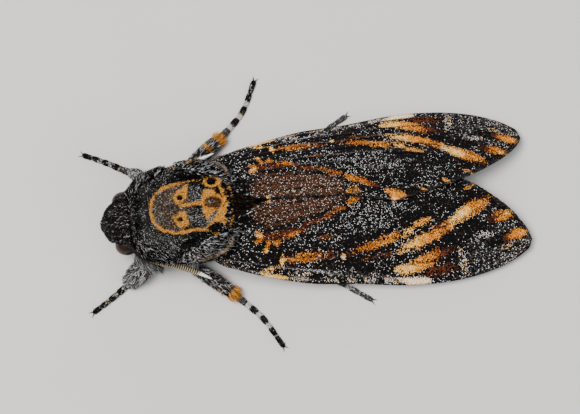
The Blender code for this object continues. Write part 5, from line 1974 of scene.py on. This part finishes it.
@dataclass
class Leg:
    """One leg: a thigh and a shin in loose scales, spurs, a foot of five joints and two claws."""

    name: str
    pair: LegPair
    wool: float = 1.0
    flex: float = 0.0
    foot_radii: tuple[float, ...] = (0.7, 0.62, 0.54, 0.5)
    foot_height: float = 0.36
    joints: int = 5
    waist: float = 0.72
    sole: float = 0.03
    spur_length: float = 2.4
    spur_radius: float = 0.26
    spur_spread: float = 32.0
    claw_length: float = 1.25
    claw_radius: float = 0.15
    claw_spread: float = 24.0
    lowest: float = 0.06
    spur_colour: Triple = (0.8, 0.72, 0.55)
    claw_colour: Triple = (0.03, 0.014, 0.008)
    tuft_shares: Triple = (0.34, 0.36, 0.3)

    def parts(self) -> dict[str, tuple[Surface, Array]]:
        """Work out the surfaces of thigh, shin and foot.

        Returns:
            Each part's surface, inside its solid by the depth of the scales, by the part's name.
        """
        hip, knee, ankle, bend, toe = (np.array(place) for place in LEG_PLACES[self.name])
        thick = self.pair.thigh
        bent = (hip + knee) / 2 + self.flex * np.array((0.0, np.sign(hip[1]), 0.0))
        made = {"femur": self.limb((hip, bent, knee), (thick, thick, 0.85 * thick), self.pair.fluff, 60)}
        thick = self.pair.shin
        middle = (knee + ankle) / 2 + (0, 0, self.pair.bow)
        radii = (0.8 * thick, thick, 0.75 * thick)
        made["tibia"] = self.limb((knee, middle, ankle), radii, self.pair.fluff, 70)
        start = (0.72 * ankle[0] + 0.28 * bend[0], 0.72 * ankle[1] + 0.28 * bend[1], self.foot_height + 0.35)
        route = (ankle, start, (*bend, self.foot_height), (*toe, self.foot_height))
        made["tarsus"] = self.limb(route, self.foot_radii, 0.1, 150, self.joints)
        return made

    def limb(
        self, route: tuple, radii: tuple[float, ...], depth: float, steps: int, joints: int = 0
    ) -> Surface:
        """Make one part of the leg.

        Args:
            route: Points of its centre line.
            radii: Radii at equal steps along it.
            depth: How far its skin lies inside them.
            steps: How many stations it has.
            joints: How many joints it is narrow at, or 0.

        Returns:
            A round surface with round ends, flat where it meets the floor.
        """
        route = np.array([tuple(map(float, place)) for place in route])
        length = np.linalg.norm(np.diff(route, axis=0), axis=1).sum()
        shares = np.linspace(0, 1, steps)
        thickness = curve_through(np.linspace(0, 1, len(radii)), radii, shares) - depth
        thickness = thickness * rounding(shares, radii[0] / length, radii[-1] / length)
        if joints:
            step = np.mod(shares * joints, 1)
            flare = 0.9 + 0.16 * ease(0.1, 0.85, step)
            narrowed = self.waist + (1 - self.waist) * np.sin(np.pi * step) ** 0.5 * 1.2
            thickness = thickness * np.minimum(1, narrowed) * flare
        made = tube(along(route, shares), thickness, 24)
        made.grid[..., 2] = np.maximum(made.grid[..., 2], self.sole)
        return made

    def spike(
        self, root: Array, direction: Array, length: float, radius: float, droop: float = 0.0
    ) -> Surface:
        """Make a cone that bends down towards its point.

        Args:
            root: Its start.
            direction: Its heading there.
            length: Its length.
            radius: Its radius at the start.
            droop: How far down its point lies from that heading, by the square of the way.

        Returns:
            The cone.
        """
        shares = np.linspace(0, 1, 16)
        path = root + shares[:, None] * length * direction + np.array((0, 0, -droop)) * (shares[:, None] ** 2)
        path[:, 2] = np.maximum(path[:, 2], self.lowest)
        return tube(path, radius * np.maximum(1 - shares**1.5, 0.04), 10)

    def spurs(self, shin: Surface) -> list[Surface]:
        """Make the pairs of spurs.

        Args:
            shin: The surface they stand on.

        Returns:
            Two spikes at each of their shares of its length.
        """
        made = []
        centre = shin.grid.mean(axis=1)
        forward, sideways, _ = frames(centre, np.array((0.0, 0.0, 1.0)))
        for share in self.pair.spurs:
            i = int(share * (len(centre) - 1))
            for way in Side:
                spread = np.radians(self.spur_spread)
                direction = forward[i] * np.cos(spread) + sideways[i] * np.sin(spread) * way
                direction[2] = max(direction[2], -0.12)
                made.append(self.spike(centre[i], unit(direction), self.spur_length, self.spur_radius))
        return made

    def claws(self) -> list[Surface]:
        """Make the two curved claws.

        Returns:
            Two spikes at the toe, one turned to either side.
        """
        bend, toe = (np.array(place) for place in LEG_PLACES[self.name][3:])
        heading = np.arctan2(toe[1] - bend[1], toe[0] - bend[0])
        made = []
        for way in Side:
            turn = heading + way * np.radians(self.claw_spread)
            direction = np.array([np.cos(turn), np.sin(turn), 0.22])
            aside = 0.16 * way * np.array([-np.sin(heading), np.cos(heading), 0])
            root = np.array([*toe, self.foot_height]) + aside - 0.45 * direction
            made.append(self.spike(root, direction, self.claw_length + 0.3, self.claw_radius, 0.5))
        return made

    def shares(self, part: str, along_it: Array, places: Array) -> Array:
        """Read the mixture of tones of one part.

        Args:
            part: The part's name.
            along_it: Shares of its length.
            places: Points on it.

        Returns:
            Clumps of wool on the thigh, gold tufts on the shin, and white rings on the foot.
        """
        clump = ease(0.35, 0.7, grain(places, 1.1, 61))[..., None]
        if part == "femur":
            pale = (0.3 + 0.7 * clump) * min(self.wool, 1.0)
            return lay(weights(DARK_LEG), pale, weights(WOOL))
        if part == "tibia":
            found = weights(self.pair.shin_mix) * (0.4 + 0.6 * clump) + weights(DARK_LEG) * 0.6 * (1 - clump)
            middle = ease(0.5, 0.56, along_it) * ease(0.68, 0.62, along_it)
            gold = ease(0.8, 0.86, along_it) + middle * clump[..., 0]
            band = (gold * (0.0 if self.pair.band < 0.5 else 0.95))[..., None]
            return lay(found, band, weights(TUFT_GOLD))
        found = weights(self.pair.foot_mix) + np.zeros((*along_it.shape, 1))
        found = lay(found, ease(0.2, 0.16, along_it)[..., None], weights(GREY_LEG))
        step = np.mod(along_it * self.joints, 1)
        band = ease(0.42, 0.28, step) * (along_it > 0.15) * ease(0.85, 0.7, along_it) * self.pair.band
        return lay(found, band[..., None], weights(WHITE_BAND))

    def build(self, skin_finish: Material, fur: FurFinish, horn: Material) -> None:
        """Make the leg's skin, its coat, and its spurs and claws.

        Args:
            skin_finish: Finish of the skin and the spurs.
            fur: Finish of the coat.
            horn: Finish of the claws.
        """
        parts = self.parts()
        spurs = self.spurs(parts["tibia"])
        nodes = tuple(f"leg_{self.name}_{part}" for part in parts)
        tints = []
        for part, skin in parts.items():
            share = np.linspace(0, 1, len(skin.grid))[:, None] + np.zeros(skin.grid.shape[:2])
            # Painted shade: each part's skin under its scales is the coat's colour darkened
            tints.append(0.6 * mean_colour(self.shares(part, share, skin.grid)))
        tints += [np.array(self.spur_colour) + 0 * spur.grid for spur in spurs]
        Piece(f"leg_skin_{self.name}", "leg", skin_finish, nodes).from_tubes([*parts.values(), *spurs], tints)
        claws = self.claws()
        tints = [np.array(self.claw_colour) + 0 * claw.grid for claw in claws]
        Piece(f"claws_{self.name}", "leg", horn).from_tubes(claws, tints)
        self.coat(parts, fur)

    def coat(self, parts: dict[str, Surface], fur: FurFinish) -> None:
        """Grow the leg's scales: loose on the thigh and shin, close and small on the foot.

        Args:
            parts: The surfaces they grow on, by their names.
            fur: Their finish.
        """
        seed = 100 + list(LEG_PLACES).index(self.name)
        rng = np.random.default_rng(seed)
        beds = []
        for order, (part, skin) in enumerate(parts.items()):
            roots = skin.scatter(int(self.pair.tufts * self.tuft_shares[order]), seed + 10 * order)
            roots = roots.only(roots.places[:, 2] > 0.12)
            mixed = self.shares(part, roots.shares[:, 0], roots.places)
            roots.shares[:, 0] = (order + 0.96 * roots.shares[:, 0]) / 3
            size = rng.uniform(0.7, 1.25, len(roots.places))
            loose = part != "tarsus"
            lie = roots.combed(rng, 0.4 if loose else 0.16)
            end = ease(0.78, 0.86, roots.shares[:, 0] * 3 - order) if part == "tibia" else 0.0
            length = (self.pair.hair * self.wool if loose else 0.42) * size
            height = (self.pair.fluff * 2.0 * self.wool if loose else 0.08) * size * (1 + 0.6 * end)
            width = (0.12 if loose else 0.11) * size
            colour = tuft_colours(mixed, rng)
            low = roots.places[:, 2] + lie[:, 2] * length
            length = np.where(low < 0.05, length * 0.3, length)
            beds.append((*vars(roots).values(), lie, length, height, width, colour))
        joined = [np.concatenate(part) for part in zip(*beds)]
        Tufts(Roots(*joined[:4]), *joined[4:], 0.5).build(Piece(f"coat_leg_{self.name}", "leg", fur.make()))


# The studio

@dataclass
class Studio:
    """A plain pale floor, soft light and the camera at the photograph's viewing angle."""

    tilt: float = 10.0
    roll: float = 5.5
    distance: float = 395.0
    scale: float = 0.1876
    target: Triple = (18.6, -0.3, 8.0)
    image_width: int = 580
    sensor: float = 36.0
    floor_size: float = 3.0

    def axes(self) -> tuple[Array, Array, Array]:
        """Work out the camera's directions.

        Returns:
            Right, up and backward: a roll about the line of sight after a tilt.
        """
        tilt, roll = np.radians((self.tilt, self.roll))
        level = np.array((1.0, 0.0, 0.0))
        steep = np.array((0.0, np.cos(tilt), np.sin(tilt)))
        back = np.array((0.0, -np.sin(tilt), np.cos(tilt)))
        return np.cos(roll) * level - np.sin(roll) * steep, np.sin(roll) * level + np.cos(roll) * steep, back

    def add_camera(self) -> None:
        """Place the camera so that the target has the scale of the photograph."""
        right, up, back = self.axes()
        place = to_row(np.array(self.target) + back * self.distance)
        data = bpy.data.cameras.new("camera")
        data.sensor_width = self.sensor
        data.lens = self.sensor * self.distance / (self.scale * self.image_width)
        data.clip_start, data.clip_end = 0.01, 20.0
        camera = bpy.data.objects.new("camera", data)
        turn = Matrix([[*row] for row in np.stack([right, up, back], axis=1)]).to_4x4()
        camera.matrix_world = Matrix.Translation(place.tolist()) @ turn
        bpy.context.scene.collection.objects.link(camera)
        bpy.context.scene.camera = camera

    def add_light(
        self, name: str, place: Triple, size: float, power: float, colour: tuple
    ) -> None:
        """Add a square lamp that faces the moth.

        Args:
            name: Its name.
            place: Its place in the frame, in metres.
            size: The length of its sides.
            power: Its power.
            colour: Its colour.
        """
        data = bpy.data.lights.new(name, "AREA")
        data.size, data.energy, data.color = size, power, colour
        lamp = bpy.data.objects.new(name, data)
        where = np.array(place)
        back = unit(where - np.array((0.0, 0.0, 0.008)))
        side = unit(np.cross((0.0, 1.0, 0.02), back))
        turn = Matrix([[*row] for row in np.stack([side, np.cross(back, side), back], axis=1)]).to_4x4()
        lamp.matrix_world = Matrix.Translation(where.tolist()) @ turn
        bpy.context.scene.collection.objects.link(lamp)

    def add_floor(self) -> None:
        """Lay the floor at the height of the feet."""
        half = self.floor_size / 2
        mesh = bpy.data.meshes.new("floor")
        corners = [(-half, -half, 0), (half, -half, 0), (half, half, 0), (-half, half, 0)]
        mesh.from_pydata(corners, [], [(0, 1, 2, 3)])
        mesh.materials.append(FloorFinish().make())
        floor = bpy.data.objects.new("floor", mesh)
        bpy.context.scene.collection.objects.link(floor)

    def build(self) -> None:
        """Set up camera, lights, sky and floor."""
        self.add_camera()
        self.add_light("key", (-0.22, 0.02, 0.66), 0.34, 7.6, (1.0, 0.98, 0.95))
        self.add_light("fill", (0.45, -0.35, 0.45), 0.6, 2.0, (0.93, 0.96, 1.0))
        self.add_light("rim", (0.1, 0.6, 0.15), 0.4, 1.4, (1.0, 1.0, 1.0))
        world = bpy.data.worlds.new("studio")
        world.use_nodes = True
        world.node_tree.nodes["Background"].inputs["Color"].default_value = (0.9, 0.93, 1.0, 1)
        world.node_tree.nodes["Background"].inputs["Strength"].default_value = 0.42
        bpy.context.scene.world = world
        self.add_floor()


def main() -> None:
    """Build the studio and every piece of the moth."""
    logging.basicConfig(level=logging.INFO, format="%(name)s: %(message)s")
    Studio().build()
    skin = SkinFinish("under_skin").make()
    horn = FurFinish("horn", roughness=0.35, specular=0.5, fleck=900.0, contrast=0.2).make()
    body = Body()
    BodyCoat(body).build()
    Tongue().build(horn)
    eye = EyeFinish().make()
    scales = ScaleFinish("wing_scales").make()
    fur = FurFinish("fringe_fur")
    for wing in make_wings():
        wing.build(scales)
        wing.fringe(fur, 200 + len(bpy.data.objects))
    for side in Side:
        Eye(side).build(eye)
        Palp(side).build(skin, FurFinish("palp_fur"))
        Tegula(side, body).build(skin, FurFinish("lappet_fur"))
        shaft = FurFinish("feeler_skin", roughness=0.55, specular=0.15).make()
        Feeler(side).build(shaft, FurFinish("comb_fur"))
    for name in LEG_PLACES:
        wool, flex = LEG_WOOL.get(name, (1.0, 0.0))
        Leg(name, PAIRS[name.split("_")[0]], wool, flex).build(skin, FurFinish("leg_fur"), horn)


if __name__ == "__main__":
    main()
